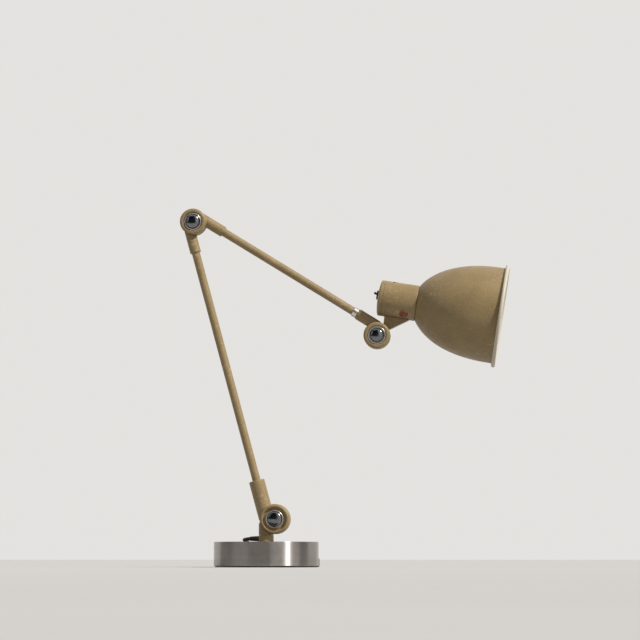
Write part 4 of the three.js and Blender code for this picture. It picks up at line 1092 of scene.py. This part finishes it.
def add_world():
    """A pale background, dimmer as a light than it looks."""
    world = bpy.data.worlds.new("studio")
    world.use_nodes = True
    bpy.context.scene.world = world
    tree = world.node_tree
    background = tree.nodes["Background"]
    shade = tree.nodes.new("ShaderNodeMix")
    shade.data_type = "RGBA"
    shade.inputs[6].default_value = colour(0.25, 0.25, 0.26)
    shade.inputs[7].default_value = colour(0.78, 0.765, 0.745)
    tree.links.new(camera_sees(tree), shade.inputs[0])
    tree.links.new(shade.outputs[2], background.inputs["Color"])


def add_floor():
    """A wide pale table, dimmer as a light than it looks."""
    bm = bmesh.new()
    bmesh.ops.create_grid(bm, x_segments=1, y_segments=1, size=60)
    floor = as_object("floor", bm)
    made = Finish("floor", Roughness=0.9, Specular_IOR_Level=0.1)
    paper = made.grain(3, 3)
    pale = made.mixed(paper, colour(0.74, 0.725, 0.705), colour(0.77, 0.755, 0.735))
    soft = made.mixed(paper, colour(0.36, 0.35, 0.34), colour(0.38, 0.37, 0.36))
    made.set("Base Color", made.mixed(camera_sees(made.material.node_tree), soft, pale))
    floor.data.materials.append(made.material)


def add_card(name, azimuth, wide, high):
    """A dark card that stands round the object for reflections alone, to model the metal."""
    bm = bmesh.new()
    bmesh.ops.create_grid(bm, x_segments=1, y_segments=1, size=0.5)
    bm.transform(Matrix.Diagonal((wide, high, 1, 1)))
    bm.transform(
        Matrix.Rotation(radians(azimuth), 4, "Z") @ Matrix.Translation((0, -CARD_AWAY, high / 2 + CARD_LIFT))
        @ Matrix.Rotation(radians(90), 4, "X")
    )
    card = as_object(name, bm)
    made = Finish(name, Roughness=0.9)
    cloth = made.grain(40, 3)
    made.set("Base Color", made.mixed(cloth, colour(0.04, 0.038, 0.036), colour(0.06, 0.057, 0.054)))
    card.data.materials.append(made.material)
    card.visible_camera = card.visible_diffuse = card.visible_shadow = False
    card.visible_transmission = card.visible_volume_scatter = False


def add_light(name, kind, azimuth, elevation, strength, size, tint):
    """A lamp aimed at the middle of the object; azimuth 0 is in front and 90 on the +X side."""
    data = bpy.data.lights.new(name, kind)
    data.energy = strength
    data.color = tint
    light = bpy.data.objects.new(name, data)
    across = math.cos(radians(elevation))
    back = Vector((
        math.sin(radians(azimuth)) * across, -math.cos(radians(azimuth)) * across,
        math.sin(radians(elevation)),
    ))
    if kind == "SUN":
        data.angle = radians(size)
    else:
        data.shape = "DISK"
        data.size = size
    light.location = (cad_box[0] + cad_box[1]) / 2 + back * LIGHT_AWAY
    light.rotation_mode = "QUATERNION"
    light.rotation_quaternion = back.to_track_quat("Z", "Y")
    bpy.context.scene.collection.objects.link(light)


add_world()
add_floor()
add_card("card_left", -78, 4.8, 4.4)
add_card("card_front", -12, 3.0, 4.4)
add_card("card_right", 96, 1.4, 4.4)
add_light("key", "SUN", 62, 42, 3.0, 5, (1.0, 0.965, 0.92))
add_light("fill", "AREA", -60, 25, 3.0, 1.6, (0.93, 0.96, 1.0))
bpy.context.scene.view_settings.view_transform = "Standard"
